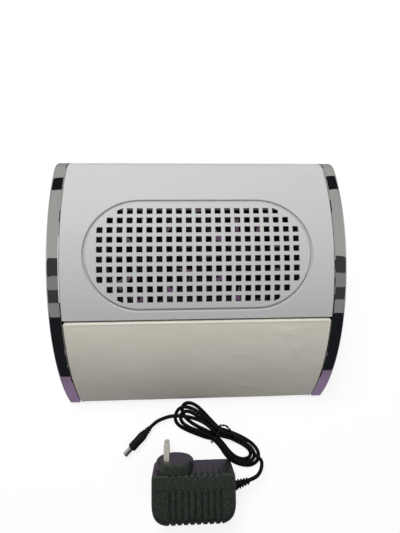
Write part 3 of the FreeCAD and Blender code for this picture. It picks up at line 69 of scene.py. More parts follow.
class Graph:
    """A thin wrapper that builds a material's node tree, one call per node."""

    def __init__(self, name: str) -> None:
        """Start an empty material with a shader that fills its surface.

        Args:
            name: The material's name.
        """
        self.material = bpy.data.materials.new(name)
        self.material.use_nodes = True
        self.tree = self.material.node_tree
        self.tree.nodes.clear()
        self.shader = self.add("ShaderNodeBsdfPrincipled")
        self.output = self.add("ShaderNodeOutputMaterial")
        self.link(self.shader.outputs[0], self.output.inputs["Surface"])
        self.place = self.add("ShaderNodeTexCoord").outputs["Object"]

    def add(self, kind: str, **settings: object) -> bpy.types.Node:
        """Add a node and set its properties or, where a name is a socket's, its inputs.

        Args:
            kind: The node's type name.
            **settings: Properties, or sockets with spaces written as underscores.

        Returns:
            The new node.
        """
        node = self.tree.nodes.new(kind)
        for key, content in settings.items():
            socket = node.inputs.get(key.replace("_", " "))
            if socket is None:
                setattr(node, key, content)
            else:
                socket.default_value = content
        return node

    def link(self, source: Socket, target: Socket) -> None:
        """Join two sockets."""
        self.tree.links.new(source, target)

    def surface(self, **settings: Socket | float | tuple) -> None:
        """Join or set the shader's sockets, their spaces written as underscores."""
        for key, content in settings.items():
            socket = self.shader.inputs[key.replace("_", " ")]
            if isinstance(content, Socket):
                self.link(content, socket)
            else:
                socket.default_value = content

    def mapped(self, **settings: tuple) -> Socket:
        """The object's coordinates, turned or stretched."""
        mapping = self.add("ShaderNodeMapping", **settings)
        self.link(self.place, mapping.inputs["Vector"])
        return mapping.outputs[0]

    def axes(self) -> list[Socket]:
        """The object's coordinates along X, Y and Z, each by itself."""
        parts = self.add("ShaderNodeSeparateXYZ")
        self.link(self.place, parts.inputs[0])
        return list(parts.outputs)

    def noise(self, scale: float, detail: float = 4.0, place: Socket | None = None,
              roughness: float = 0.55) -> Socket:
        """Add a noise texture.

        Args:
            scale: Cells to the metre.
            detail: Octaves.
            place: Coordinates, or the object's own.
            roughness: How strong the fine octaves are.

        Returns:
            The noise's value from 0 to 1.
        """
        node = self.add("ShaderNodeTexNoise", Scale=scale, Detail=detail, Roughness=roughness)
        self.link(place or self.place, node.inputs["Vector"])
        return node.outputs["Fac"]

    def cells(self, scale: float) -> Socket:
        """Add a cell texture and give its distance output."""
        node = self.add("ShaderNodeTexVoronoi", Scale=scale)
        self.link(self.place, node.inputs["Vector"])
        return node.outputs["Distance"]

    def ramp(self, source: Socket, low: Colour, high: Colour, start: float, end: float) -> Socket:
        """Turn a value into a colour between two colours.

        Args:
            source: The value.
            low: Colour at and below start.
            high: Colour at and above end.
            start: Where the change begins.
            end: Where it ends.

        Returns:
            The colour.
        """
        node = self.add("ShaderNodeValToRGB")
        first, last = node.color_ramp.elements
        first.position, last.position = start, end
        first.color, last.color = (*low, 1.0), (*high, 1.0)
        self.link(source, node.inputs["Fac"])
        return node.outputs["Color"]

    def fit(self, source: Socket, low: float, high: float, start: float = 0.0, end: float = 1.0) -> Socket:
        """Map a value's range, from start to end, onto another, from low to high."""
        node = self.add("ShaderNodeMapRange", From_Min=start, From_Max=end, To_Min=low, To_Max=high)
        self.link(source, node.inputs["Value"])
        return node.outputs["Result"]

    def patchy(self, scale: float, detail: float, low: float | Colour, high: float | Colour,
               start: float = 0.0, end: float = 1.0) -> Socket:
        """Spread two values, or two colours, over the piece by a noise.

        Args:
            scale: The noise's cells to the metre.
            detail: Its octaves.
            low: Value or colour where the noise is at start or below.
            high: Value or colour where it is at end or above.
            start: Where the change begins.
            end: Where it ends.

        Returns:
            The value or colour.
        """
        spread = self.ramp if isinstance(low, tuple) else self.fit
        return spread(self.noise(scale, detail), low, high, start, end)

    def math(self, operation: str, first: Socket, second: Socket | float = 0.0) -> Socket:
        """Work out a value from another one and a constant, or from two others."""
        node = self.add("ShaderNodeMath", operation=operation)
        self.link(first, node.inputs[0])
        if isinstance(second, float):
            node.inputs[1].default_value = second
        else:
            self.link(second, node.inputs[1])
        return node.outputs[0]

    def distance(self, *parts: Socket) -> Socket:
        """The length of the vector that the parts make."""
        joined = self.add("ShaderNodeCombineXYZ")
        for part, socket in zip(parts, joined.inputs):
            self.link(part, socket)
        length = self.add("ShaderNodeVectorMath", operation="LENGTH")
        self.link(joined.outputs[0], length.inputs[0])
        return length.outputs["Value"]

    def mix(self, factor: Socket, first: Socket, second: Socket | Colour) -> Socket:
        """Mix a colour with a second one by a value."""
        node = self.add("ShaderNodeMix", data_type="RGBA")
        self.link(factor, node.inputs["Factor"])
        self.link(first, node.inputs["A"])
        if isinstance(second, tuple):
            node.inputs["B"].default_value = (*second, 1.0)
        else:
            self.link(second, node.inputs["B"])
        return node.outputs["Result"]

    def bump(self, *layers: tuple[Socket, float, float]) -> None:
        """Stack bumps onto the shader's normal.

        Args:
            *layers: A height, its strength and its distance in metres, for each layer.
        """
        normal = None
        for height, strength, distance in layers:
            node = self.add("ShaderNodeBump", Strength=strength, Distance=distance)
            self.link(height, node.inputs["Height"])
            if normal is not None:
                self.link(normal, node.inputs["Normal"])
            normal = node.outputs["Normal"]
        self.surface(Normal=normal)


# ---------------------------------------------------------------- finishes
@dataclass(frozen=True)
class Surface:
    """What every finish has: a name, and a node material that its own paint() fills."""

    name: str

    def material(self) -> Material:
        """The finish's node material, built once."""
        made = bpy.data.materials.get(self.name)
        if made:
            return made
        graph = Graph(self.name)
        self.paint(graph)
        return graph.material


@dataclass(frozen=True)
class MouldedPlastic(Surface):
    """Injection-moulded plastic: an even tint, a fine spark-eroded grain and a soft shine."""

    tint: Colour
    roughness: float = 0.42
    grain: float = 2600.0
    depth: float = 0.03 * MM
    cloud: float = 0.97
    specular: float = 0.5
    wave: float = 14.0
    wave_depth: float = 0.4 * MM

    def paint(self, graph: Graph) -> None:
        """Add the nodes."""
        base = graph.patchy(26.0, 3.0, dimmed(self.tint, self.cloud), self.tint, 0.3, 0.7)
        rough = graph.patchy(60.0, 5.0, self.roughness - 0.05, self.roughness + 0.07)
        graph.surface(Base_Color=self.tone(graph, base), Roughness=rough, Specular_IOR_Level=self.specular)
        graph.bump((graph.noise(self.grain, 2.0), 0.5, self.depth),
                   (graph.noise(self.wave, 2.0), 0.25, self.wave_depth), *self.relief(graph))

    def relief(self, graph: Graph) -> list[tuple[Socket, float, float]]:
        """Add no further bumps."""
        return []

    def tone(self, graph: Graph, colour: Socket) -> Socket:
        """Leave the colour as it is."""
        return colour


@dataclass(frozen=True)
class CoverPlastic(MouldedPlastic):
    """The cover's plastic, with painted shade: coloured dark on the walls of its holes and inside, where
    shade falls.
    """

    skin: float = 2.0 * MM
    fade: float = 0.3 * MM
    # Painted shade: the dark colour of the hole walls and the inside.
    hole_shade: Colour = (0.010, 0.010, 0.011)
    reach: float = 80 * MM
    reach_fade: float = 2 * MM
    lattice_angle: float = 3.9
    groove_run: float = 54.8 * MM
    groove_radius: float = 51.4 * MM
    shoulder: float = 1.7 * MM
    shoulder_depth: float = 1.5 * MM

    def relief(self, graph: Graph) -> list[tuple[Socket, float, float]]:
        """Round the shoulders of the oblong groove.

        Args:
            graph: The material's nodes.

        Returns:
            The further bump, by the distance from the groove's middle line.
        """
        middle = PROFILE.middle.y - PROFILE.radius * math.sin(math.radians(self.lattice_angle))
        x, y, _ = graph.axes()
        past = graph.math("MAXIMUM", graph.math("SUBTRACT", graph.math("ABSOLUTE", x), self.groove_run))
        away = graph.distance(past, graph.math("SUBTRACT", y, middle))
        away = graph.math("ABSOLUTE", graph.math("SUBTRACT", away, self.groove_radius))
        return [(graph.fit(away, 0.0, 1.0, 0.0, self.shoulder), 1.0, self.shoulder_depth)]

    def tone(self, graph: Graph, colour: Socket) -> Socket:
        """Darken, as painted shade, what lies deeper than the skin and in front of the cover's own shoulder.

        Args:
            graph: The material's nodes.
            colour: The plastic's own colour.

        Returns:
            The mixed colour.
        """
        centre = PROFILE.middle
        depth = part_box("top_shell")[1].z - centre.z - self.skin
        _, y, z = graph.axes()
        away = graph.distance(graph.math("SUBTRACT", y, centre.y), graph.math("SUBTRACT", z, centre.z))
        deep = graph.fit(away, 1.0, 0.0, depth - self.fade, depth)
        ahead = graph.fit(y, 1.0, 0.0, self.reach, self.reach + self.reach_fade)
        # Painted shade: the hole walls and the inside take the dark colour.
        return graph.mix(graph.math("MULTIPLY", deep, ahead), colour, self.hole_shade)


@dataclass(frozen=True)
class GlintPaintedPlastic(Surface):
    """Dark moulded plastic with a coarse spark-eroded skin, whose crests are painted pale as painted glints.
    """

    tint: Colour = (0.0170, 0.0215, 0.0180)
    # Painted highlight: the pale colour painted on the skin's crests as glints.
    crest_glint: Colour = (0.080, 0.094, 0.078)
    sheen: Colour = (0.84, 1.0, 0.86)
    roughness: float = 0.33
    specular: float = 1.0
    skin_depth: float = 0.12 * MM
    wave_depth: float = 0.3 * MM

    def paint(self, graph: Graph) -> None:
        """Add the nodes."""
        skin = graph.noise(620.0, 3.0)
        base = graph.patchy(30.0, 3.0, dimmed(self.tint, 0.8), self.tint, 0.35, 0.65)
        # Painted highlight: the crests of the skin noise are painted pale, as glints.
        pale = graph.ramp(skin, self.tint, self.crest_glint, 0.50, 0.64)
        graph.surface(Base_Color=graph.mix(graph.patchy(420.0, 2.0, 0.1, 0.9), base, pale),
                      Roughness=graph.patchy(80.0, 4.0, self.roughness - 0.06, self.roughness + 0.1),
                      Specular_IOR_Level=self.specular, Specular_Tint=(*self.sheen, 1.0))
        graph.bump((skin, 0.7, self.skin_depth), (graph.noise(22.0, 2.0), 0.2, self.wave_depth))


@dataclass(frozen=True)
class BrightPlating(Surface):
    """Mirror-bright plating over plastic, with a faint waviness and a little haze."""

    tint: Colour = (0.78, 0.78, 0.79)
    roughness: float = 0.015
    wave: float = 9.0
    wave_depth: float = 0.6 * MM
    haze_depth: float = 0.01 * MM

    def paint(self, graph: Graph) -> None:
        """Add the nodes."""
        graph.surface(Base_Color=graph.patchy(18.0, 3.0, dimmed(self.tint, 0.96), self.tint, 0.35, 0.7),
                      Roughness=graph.patchy(45.0, 6.0, self.roughness, self.roughness + 0.025, 0.45, 0.8),
                      Metallic=1.0)
        graph.bump((graph.noise(self.wave, 1.0), 0.3, self.wave_depth),
                   (graph.noise(500.0, 2.0), 0.1, self.haze_depth))


@dataclass(frozen=True)
class SyntheticLeather(Surface):
    """Coated fabric over foam: a pebbled grain, shallow creases, and a colour a little darker in the grain's
    hollows.
    """

    tint: Colour
    shade: Colour
    grain: float = 1500.0
    crease_depth: float = 1.1 * MM
    pebble_depth: float = 0.06 * MM
    pore_depth: float = 0.02 * MM

    def paint(self, graph: Graph) -> None:
        """Add the nodes."""
        base = graph.patchy(11.0, 4.0, self.shade, self.tint, 0.3, 0.68)
        pebble = graph.cells(self.grain)
        # The hollows of the pebbled grain are coloured a little darker.
        hollow_tone = graph.ramp(pebble, dimmed(self.tint, 0.94), self.tint, 0.0, 0.5)
        graph.surface(Base_Color=graph.mix(graph.patchy(90.0, 3.0, 0.0, 0.4), base, hollow_tone),
                      Roughness=graph.patchy(70.0, 5.0, 0.36, 0.5),
                      Specular_IOR_Level=0.42, Sheen_Weight=0.08, Sheen_Roughness=0.4)
        slant = graph.mapped(Rotation=(0.0, 0.0, 0.6), Scale=(14.0, 46.0, 20.0))
        creases = graph.noise(1.0, 5.0, slant, 0.6)
        graph.bump((creases, 0.35, self.crease_depth), (pebble, 0.3, self.pebble_depth),
                   (graph.noise(3200.0, 2.0), 0.3, self.pore_depth))


@dataclass(frozen=True)
class SoftVinyl(Surface):
    """Flexible black vinyl of a lead: smooth, with long soft highlights and dull patches."""

    tint: Colour = (0.0032, 0.0038, 0.0042)
    specular: float = 0.2
    grain_depth: float = 0.05 * MM
    wave_depth: float = 0.2 * MM

    def paint(self, graph: Graph) -> None:
        """Add the nodes."""
        graph.surface(Base_Color=graph.patchy(120.0, 4.0, self.tint, dimmed(self.tint, 1.9), 0.35, 0.75),
                      Roughness=graph.patchy(160.0, 4.0, 0.2, 0.34), Specular_IOR_Level=self.specular)
        graph.bump((graph.noise(700.0, 3.0), 0.2, self.grain_depth),
                   (graph.noise(90.0, 1.0), 0.2, self.wave_depth))


@dataclass(frozen=True)
class TurnedMetal(Surface):
    """Bare or plated metal with fine tool marks along one axis and faint tarnish."""

    tint: Colour
    tarnish: Colour
    roughness: float = 0.25
    stretch: tuple[float, float, float] = (40.0, 1500.0, 1500.0)
    metallic: float = 1.0
    mark_depth: float = 0.03 * MM

    def paint(self, graph: Graph) -> None:
        """Add the nodes."""
        marks = graph.noise(1.0, 3.0, graph.mapped(Scale=self.stretch))
        graph.surface(Base_Color=graph.patchy(180.0, 5.0, self.tint, self.tarnish, 0.5, 0.85),
                      Roughness=graph.fit(marks, self.roughness - 0.06, self.roughness + 0.12),
                      Metallic=self.metallic)
        graph.bump((marks, 0.25, self.mark_depth))


@dataclass(frozen=True)
class OpenFoam(Surface):
    """Cut foam with open cells."""

    tint: Colour = (0.72, 0.66, 0.48)
    depth: float = 0.5 * MM

    def paint(self, graph: Graph) -> None:
        """Add the nodes."""
        cells = graph.cells(900.0)
        colour = graph.ramp(cells, dimmed(self.tint, 0.5), self.tint, 0.0, 0.5)
        graph.surface(Base_Color=colour, Roughness=0.95)
        graph.bump((cells, 0.8, self.depth))


@dataclass(frozen=True)
class PressedBoard(Surface):
    """Pressed fibre board with short flecks."""

    tint: Colour = (0.36, 0.25, 0.15)
    depth: float = 0.2 * MM

    def paint(self, graph: Graph) -> None:
        """Add the nodes."""
        flecks = graph.noise(1.0, 5.0, graph.mapped(Scale=(260.0, 900.0, 900.0)))
        colour = graph.ramp(flecks, dimmed(self.tint, 0.6), dimmed(self.tint, 1.4), 0.3, 0.7)
        graph.surface(Base_Color=colour, Roughness=0.8)
        graph.bump((flecks, 0.4, self.depth))


class Finish(Enum):
    """Every finish on the object. None has the name of one of the record's material slots."""

    SHELL = CoverPlastic("shell_plastic", (0.62, 0.63, 0.625), 0.40, 2400.0, 0.025 * MM, 0.985)
    INNER = MouldedPlastic("inner_moulding", (0.55, 0.56, 0.55), 0.5)
    TRIM = BrightPlating("trim_plating")
    CUSHION = SyntheticLeather("cushion_leather", (0.85, 0.825, 0.725), (0.785, 0.755, 0.655))
    FOAM = OpenFoam("cushion_foam")
    BOARD = PressedBoard("cushion_board")
    RUBBER = MouldedPlastic("foot_rubber", (0.02, 0.02, 0.021), 0.7, 900.0, 0.08 * MM, 0.8, 0.3)
    FAN = MouldedPlastic("fan_moulding", (0.015, 0.013, 0.016), 0.34, 1800.0, 0.03 * MM, 0.8)
    MAGNET = MouldedPlastic("bonded_magnet", (0.05, 0.045, 0.045), 0.6, 1500.0, 0.06 * MM, 0.7)
    CIRCUIT = MouldedPlastic("circuit_laminate", (0.02, 0.11, 0.045), 0.35, 600.0, 0.05 * MM, 0.7)
    SWITCH = MouldedPlastic("switch_plastic", (0.012, 0.012, 0.012), 0.3, 1400.0, 0.02 * MM, 0.8)
    ADAPTER = GlintPaintedPlastic("adapter_moulding")
    INSERT = MouldedPlastic("plug_insert_plastic", (0.01, 0.01, 0.01), 0.45)
    VINYL = SoftVinyl("lead_vinyl")
    STEEL = TurnedMetal("zinc_steel", (0.58, 0.58, 0.57), (0.42, 0.41, 0.38))
    BRONZE = TurnedMetal("sintered_bronze", (0.46, 0.30, 0.15), (0.3, 0.19, 0.1), 0.4)
    COPPER = TurnedMetal("enamelled_copper", (0.62, 0.26, 0.12), (0.4, 0.15, 0.07), 0.35,
                         (900.0, 900.0, 3000.0))
    BLADE = TurnedMetal("plug_blade_metal", (0.90, 0.86, 0.78), (0.82, 0.75, 0.62), 0.3,
                        (900.0, 30.0, 900.0), 0.45)
    GRIP = SoftVinyl("grip_vinyl", (0.0075, 0.008, 0.0085))
    TIE = SoftVinyl("tie_coating", (0.012, 0.012, 0.013))
    LABEL = MouldedPlastic("label_film", (0.03, 0.031, 0.033), 0.62, 900.0, 0.01 * MM, 0.9, 0.35)
    BARREL = TurnedMetal("plug_barrel_metal", (0.80, 0.80, 0.80), (0.6, 0.6, 0.58), 0.16)

    @property
    def material(self) -> Material:
        """The finish's material."""
        return self.value.material()


class Slot(Enum):
    """The record's slot names, handed to seat() with each new piece, which doesn't use them."""

    TRIM = "bright_trim"
    CUSHION = "rest_leather"
    LEAD = "lead_rubber"
    TIE = "tie"
    ADAPTER = "adapter_plastic"
    PIN = "brass"


# ---------------------------------------------------------------- building helpers
def arc(start: float, sweep: float, steps: int) -> list[tuple[float, float]]:
    """The cosine and sine of even steps along an arc, given in degrees."""
    turns = [math.radians(start + sweep * step / steps) for step in range(steps + 1)]
    return [(math.cos(turn), math.sin(turn)) for turn in turns]


def add_object(name: str, data: bpy.types.ID) -> Piece:
    """Put a mesh, curve, lamp or camera into the scene."""
    made = bpy.data.objects.new(name, data)
    bpy.context.scene.collection.objects.link(made)
    return made


def mesh_data(name: str, points: list, faces: list[Face], material: Material) -> bpy.types.Mesh:
    """Make a mesh with one material."""
    mesh = bpy.data.meshes.new(name)
    mesh.from_pydata([tuple(point) for point in points], [], faces)
    mesh.materials.append(material)
    return mesh


def mesh_piece(name: str, points: list[Vector], faces: list[Face], finish: Finish,
               sharp: float = 32.0) -> Piece:
    """Make a smooth-shaded mesh with one finish.

    Args:
        name: The piece's name.
        points: Its vertices.
        faces: Vertex numbers of each face.
        finish: Its finish.
        sharp: Edges that turn by more degrees than this stay sharp.

    Returns:
        The new object.
    """
    mesh = mesh_data(name, points, faces, finish.material)
    mesh.shade_smooth()
    mesh.set_sharp_from_angle(angle=math.radians(sharp))
    piece = add_object(name, mesh)
    piece.modifiers.new("weighted normals", "WEIGHTED_NORMAL").keep_sharp = True
    return piece


def seat(piece: Piece, slot: Slot, *solids: str) -> None:
    """Put a piece in place of its solids, if it has any, and let it ride on the housing.

    Args:
        piece: The new piece.
        slot: Not used.
        *solids: The solids that it replaces.
    """
    if solids:
        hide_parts(*solids)
    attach(piece, HOUSING)


def stitch(rings: int, around: int) -> list[Face]:
    """Faces between neighbouring closed rings that hold the same number of points."""
    faces = []
    for ring in range(rings - 1):
        low, high = ring * around, (ring + 1) * around
        for spot in range(around):
            after = (spot + 1) % around
            faces.append((low + spot, low + after, high + after, high + spot))
    return faces


def flipped(faces: list[Face]) -> list[Face]:
    """The same faces, each turned round."""
    return [tuple(reversed(face)) for face in faces]


def capped(rings: int, around: int) -> list[Face]:
    """The faces of a closed body of rings, with one face on its first ring and one on its last."""
    last = (rings - 1) * around
    return stitch(rings, around) + [tuple(reversed(range(around))), tuple(range(last, last + around))]


def add_spline(data: bpy.types.Curve, route: list[Vector]) -> None:
    """Add one smooth open line that has the route as its control points."""
    spline = data.splines.new("NURBS")
    spline.points.add(len(route) - 1)
    for spot, place in zip(spline.points, route):
        spot.co = (*place, 1.0)
    spline.order_u = 3
    spline.use_endpoint_u = True


def curve_piece(name: str, routes: list[list[Vector]], diameter: float, finish: Finish, around: int,
                along: int) -> Piece:
    """Make round leads whose centrelines are open splines.

    Args:
        name: The piece's name.
        routes: Each spline's control points.
        diameter: The lead's diameter.
        finish: Its finish.
        around: How finely its section is cut.
        along: How finely its line is cut.

    Returns:
        The new curve object.
    """
    data = bpy.data.curves.new(name, "CURVE")
    data.dimensions = "3D"
    data.bevel_depth = diameter / 2
    data.bevel_resolution = around
    data.resolution_u = along
    data.use_fill_caps = True
    for route in routes:
        add_spline(data, route)
    data.materials.append(finish.material)
    return add_object(name, data)


def lathe(name: str, profile: list[tuple[float, float]], origin: Vector, heading: float,
          finish: Finish) -> Piece:
    """Turn a profile about a level axis.

    Args:
        name: The piece's name.
        profile: Distance along the axis and radius of each ring, in millimetres.
        origin: Where the axis starts.
        heading: The axis's angle from +X, in degrees.
        finish: Its finish.

    Returns:
        The new object.
    """
    around, sharp = 44, 40.0
    turn = Matrix.Rotation(math.radians(heading), 3, "Z")
    points = []
    for along, radius in profile:
        for cosine, sine in arc(0.0, 360.0, around)[:-1]:
            points.append(origin + turn @ (Vector((along, radius * cosine, radius * sine)) * MM))
    faces = stitch(len(profile), around)
    faces += [tuple(range(around)), tuple(reversed(range(len(points) - around, len(points))))]
    return mesh_piece(name, points, flipped(faces), finish, sharp)


# ---------------------------------------------------------------- the housing's side profile
@dataclass
class ArchProfile:
    """The housing's side profile: one wide arc, a tighter shoulder and an upright back."""

    radius: float = 190 * MM
    shoulder: float = 25 * MM
    rim: float = 4 * MM
    top: float = 95 * MM
    depth: float = 250 * MM
    floor_steps: int = 24
    back_steps: int = 10
    shoulder_steps: int = 18
    arc_steps: int = 110

    @cached_property
    def front(self) -> float:
        """Where the caps begin in front."""
        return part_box("right_side_cap")[0].y

    @cached_property
    def back(self) -> float:
        """Where the back wall stands."""
        return self.front + self.depth

    @cached_property
    def middle(self) -> Vector:
        """The wide arc's centre, in the YZ plane."""
        low = self.top - self.radius
        return Vector((0.0, self.front + math.sqrt(self.radius ** 2 - (self.rim - low) ** 2), low))

    def at(self, across: float, radius: float, angle: float) -> Vector:
        """A point at a radius and an angle in front of the arch's top."""
        return self.middle + Vector((across, -radius * math.sin(angle), radius * math.cos(angle)))

    def outline(self, across: float, inset: float) -> list[Vector]:
        """The whole D-shaped outline, inset all round.

        Args:
            across: The plane's place along X.
            inset: How far inside the outer face.

        Returns:
            The points from the front rim: over the floor side, up the back and down the arch.
        """
        radius, low = self.radius - inset, self.rim + inset
        front = self.middle.y - math.sqrt(radius ** 2 - (low - self.middle.z) ** 2)
        back = self.back - inset
        turn = self.back - self.shoulder
        reach = self.radius - self.shoulder
        lift = self.middle.z + math.sqrt(reach ** 2 - (turn - self.middle.y) ** 2)
        tilt = math.asin((turn - self.middle.y) / reach)
        small = self.shoulder - inset
        end = math.acos((low - self.middle.z) / radius)
        points = []
        for step in range(self.floor_steps):
            points.append(Vector((across, front + (back - front) * step / self.floor_steps, low)))
        for step in range(self.back_steps):
            points.append(Vector((across, back, low + (lift - low) * step / self.back_steps)))
        for step in range(self.shoulder_steps):
            angle = (math.pi / 2 - tilt) * step / self.shoulder_steps
            points.append(Vector((across, turn + small * math.cos(angle), lift + small * math.sin(angle))))
        for step in range(self.arc_steps):
            points.append(self.at(across, radius, -tilt + (end + tilt) * step / self.arc_steps))
        return points


PROFILE = ArchProfile()


# ---------------------------------------------------------------- the housing's trim and hand rest
@dataclass
class SideCap:
    """A bright D-shaped cover on one end of the housing."""

    side: str
    wall: float = 2.4 * MM
    edge: float = 1.7 * MM
    edge_steps: int = 7
    lip: float = 0.55 * MM
    overlap: float = 0.22 * MM

    def rings(self, width: float) -> list[tuple[float, float]]:
        """Distance from the outer face and inset of each ring, from the hollow to the outer face."""
        reach = width + self.overlap
        rings = [(self.wall, self.wall), (reach, self.wall), (reach, self.lip), (reach - self.lip, 0.0)]
        rings += [(width * share, 0.0) for share in (0.75, 0.5, 0.3)]
        for cosine, sine in arc(0.0, 90.0, self.edge_steps):
            rings.append((self.edge * (1 - sine), self.edge * (1 - cosine)))
        return rings

    def dress(self) -> None:
        """Build the cap's mesh in place of its solid."""
        solid = f"{self.side}_side_cap"
        low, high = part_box(solid)
        outer, inward = (high.x, -1) if self.side == "right" else (low.x, 1)
        points: list[Vector] = []
        rings = self.rings(high.x - low.x)
        for depth, inset in rings:
            points += PROFILE.outline(outer + inward * depth, inset)
        faces = capped(len(rings), len(points) // len(rings))
        if self.side == "right":
            faces = flipped(faces)
        seat(mesh_piece(f"{self.side}_cap_skin", points, faces, Finish.TRIM), Slot.TRIM, solid)


@dataclass
class Cushion:
    """The padded hand rest: a thin foam cushion in coated fabric, drawn tight round its board."""

    thick: float = 9.7 * MM
    corner: float = 2.6 * MM
    plan_corner: float = 3.4 * MM
    hem: float = 1.0 * MM
    crown: float = 0.5 * MM
    tuck: float = 0.5 * MM
    pucker: float = 0.3 * MM
    calm: float = 8 * MM
    welt: float = 0.5 * MM
    welt_inset: float = 1.7 * MM
    welt_width: float = 0.8 * MM
    gap: float = 0.8 * MM
    side_gap: float = 0.2 * MM
    columns: int = 150
    rows: int = 70
    sharp: float = 50.0

    def __post_init__(self) -> None:
        """Read the cushion's limits from its solid."""
        low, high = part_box("hand_rest_cover")
        self.half = high.x - self.side_gap
        self.low = low.z
        self.seat = PROFILE.radius - self.thick
        self.start = math.asin((PROFILE.middle.y - high.y) / self.seat) + self.gap / PROFILE.radius
        self.length = (self.lean(PROFILE.radius) - self.start) * PROFILE.radius

    def lean(self, radius: float) -> float:
        """The angle at which a radius reaches the cushion's lower end."""
        return math.acos((self.low - PROFILE.middle.z) / radius)

    def rise(self, across: float, along: float) -> float:
        """How far the top stands above the seat at a place.

        Args:
            across: Distance from the middle along X.
            along: Distance from the upper end along the arch.

        Returns:
            The height above the seat.
        """
        gaps = (self.half - abs(across), along, self.length - along)
        bend = self.plan_corner
        if gaps[0] < bend and min(gaps[1:]) < bend:
            round_gap = bend - math.hypot(bend - gaps[0], bend - min(gaps[1:]))
            if round_gap < 0:
                return self.hem
            gaps = (round_gap, gaps[1] + bend, gaps[2] + bend)
        height = self.thick
        for gap in gaps:
            if gap < self.corner:
                height -= self.corner - math.sqrt(max(self.corner ** 2 - (self.corner - gap) ** 2, 0.0))
        dome = math.sin(math.pi * min(max(along / self.length, 0), 1)) ** 0.5
        dome *= 1 - (across / self.half) ** 6
        near = min(gaps[0], gaps[1]) - self.welt_inset
        return height + self.crown * dome + self.welt * math.exp(-(near / self.welt_width) ** 2)

    def crease(self, across: float, along: float) -> float:
        """Shallow slanting creases and a little unevenness in the cloth, which fade towards the border."""
        slant = noise.noise(Vector((across * 16 + along * 10, along * 60 - across * 22, 3.7)))
        broad = noise.noise(Vector((across * 22, along * 34, 1.3)))
        streak = max(0.0, 1 - abs(slant) * 6) ** 2
        patch = max(0.0, noise.noise(Vector((across * 30, along * 42, 8.1))))
        inside = min(self.calm, self.half - abs(across), along, self.length - along) / self.calm
        return self.pucker * (0.6 * slant + 0.9 * broad + 3.5 * streak * patch) * max(inside, 0.15)

    @staticmethod
    def spacing(count: int) -> list[float]:
        """Shares from 0 to 1 that crowd towards both ends."""
        return [0.5 - 0.5 * math.cos(math.pi * step / count) for step in range(count + 1)]

    def dress(self) -> None:
        """Build the closed cushion: a crowned top, rounded borders, upright sides and a flat seat."""
        points: list[Vector] = []
        for share in self.spacing(self.rows):
            along = share * self.length
            for across_share in self.spacing(self.columns):
                across = self.half * (2 * across_share - 1)
                radius = self.seat + self.rise(across, along) + self.crease(across, along)
                angle = self.start + (self.lean(radius) - self.start) * share
                points.append(PROFILE.at(across, radius, angle))
        width = self.columns + 1
        faces = []
        for row in range(self.rows):
            for spot in range(row * width, row * width + self.columns):
                faces.append((spot, spot + width, spot + width + 1, spot + 1))
        self.close(points, faces)
        piece = mesh_piece("hand_rest_cushion", points, faces, Finish.CUSHION, self.sharp)
        seat(piece, Slot.CUSHION, "hand_rest_cover")

    def sunk(self, top: Vector, drop: float, pull: float) -> Vector:
        """A point of the sides, below one on the border.

        Args:
            top: The border's point.
            drop: Its share of the way down to the seat.
            pull: How much of the tuck it is drawn in.

        Returns:
            The point.
        """
        offset = Vector((0.0, top.y - PROFILE.middle.y, top.z - PROFILE.middle.z))
        radius = offset.length + (self.seat - offset.length) * drop
        inner = PROFILE.middle + offset.normalized() * radius
        inner.x = top.x * (1 - self.tuck * pull / self.half)
        inner.z = max(inner.z, self.low)
        return inner

    def close(self, points: list[Vector], faces: list[Face]) -> None:
        """Add the sides and the underside to the top's mesh."""
        width = self.columns + 1
        last = self.rows * width
        border = list(range(width)) + [row * width + width - 1 for row in range(1, self.rows + 1)]
        border += [last + column for column in range(width - 2, -1, -1)]
        border += [row * width for row in range(self.rows - 1, 0, -1)]
        count = len(border)
        upper = border
        for drop, pull in ((0.35, 0.0), (0.75, 0.4), (1.0, 1.0)):
            lower = list(range(len(points), len(points) + count))
            points += [self.sunk(points[spot], drop, pull) for spot in border]
            for spot in range(count):
                after = (spot + 1) % count
                faces.append((upper[spot], upper[after], lower[after], lower[spot]))
            upper = lower
        left = [upper[0]] + [upper[count - step] for step in range(1, self.rows + 1)]
        right = upper[width - 1:width + self.rows]
        for step in range(self.rows):
            faces.append((left[step], right[step], right[step + 1], left[step + 1]))


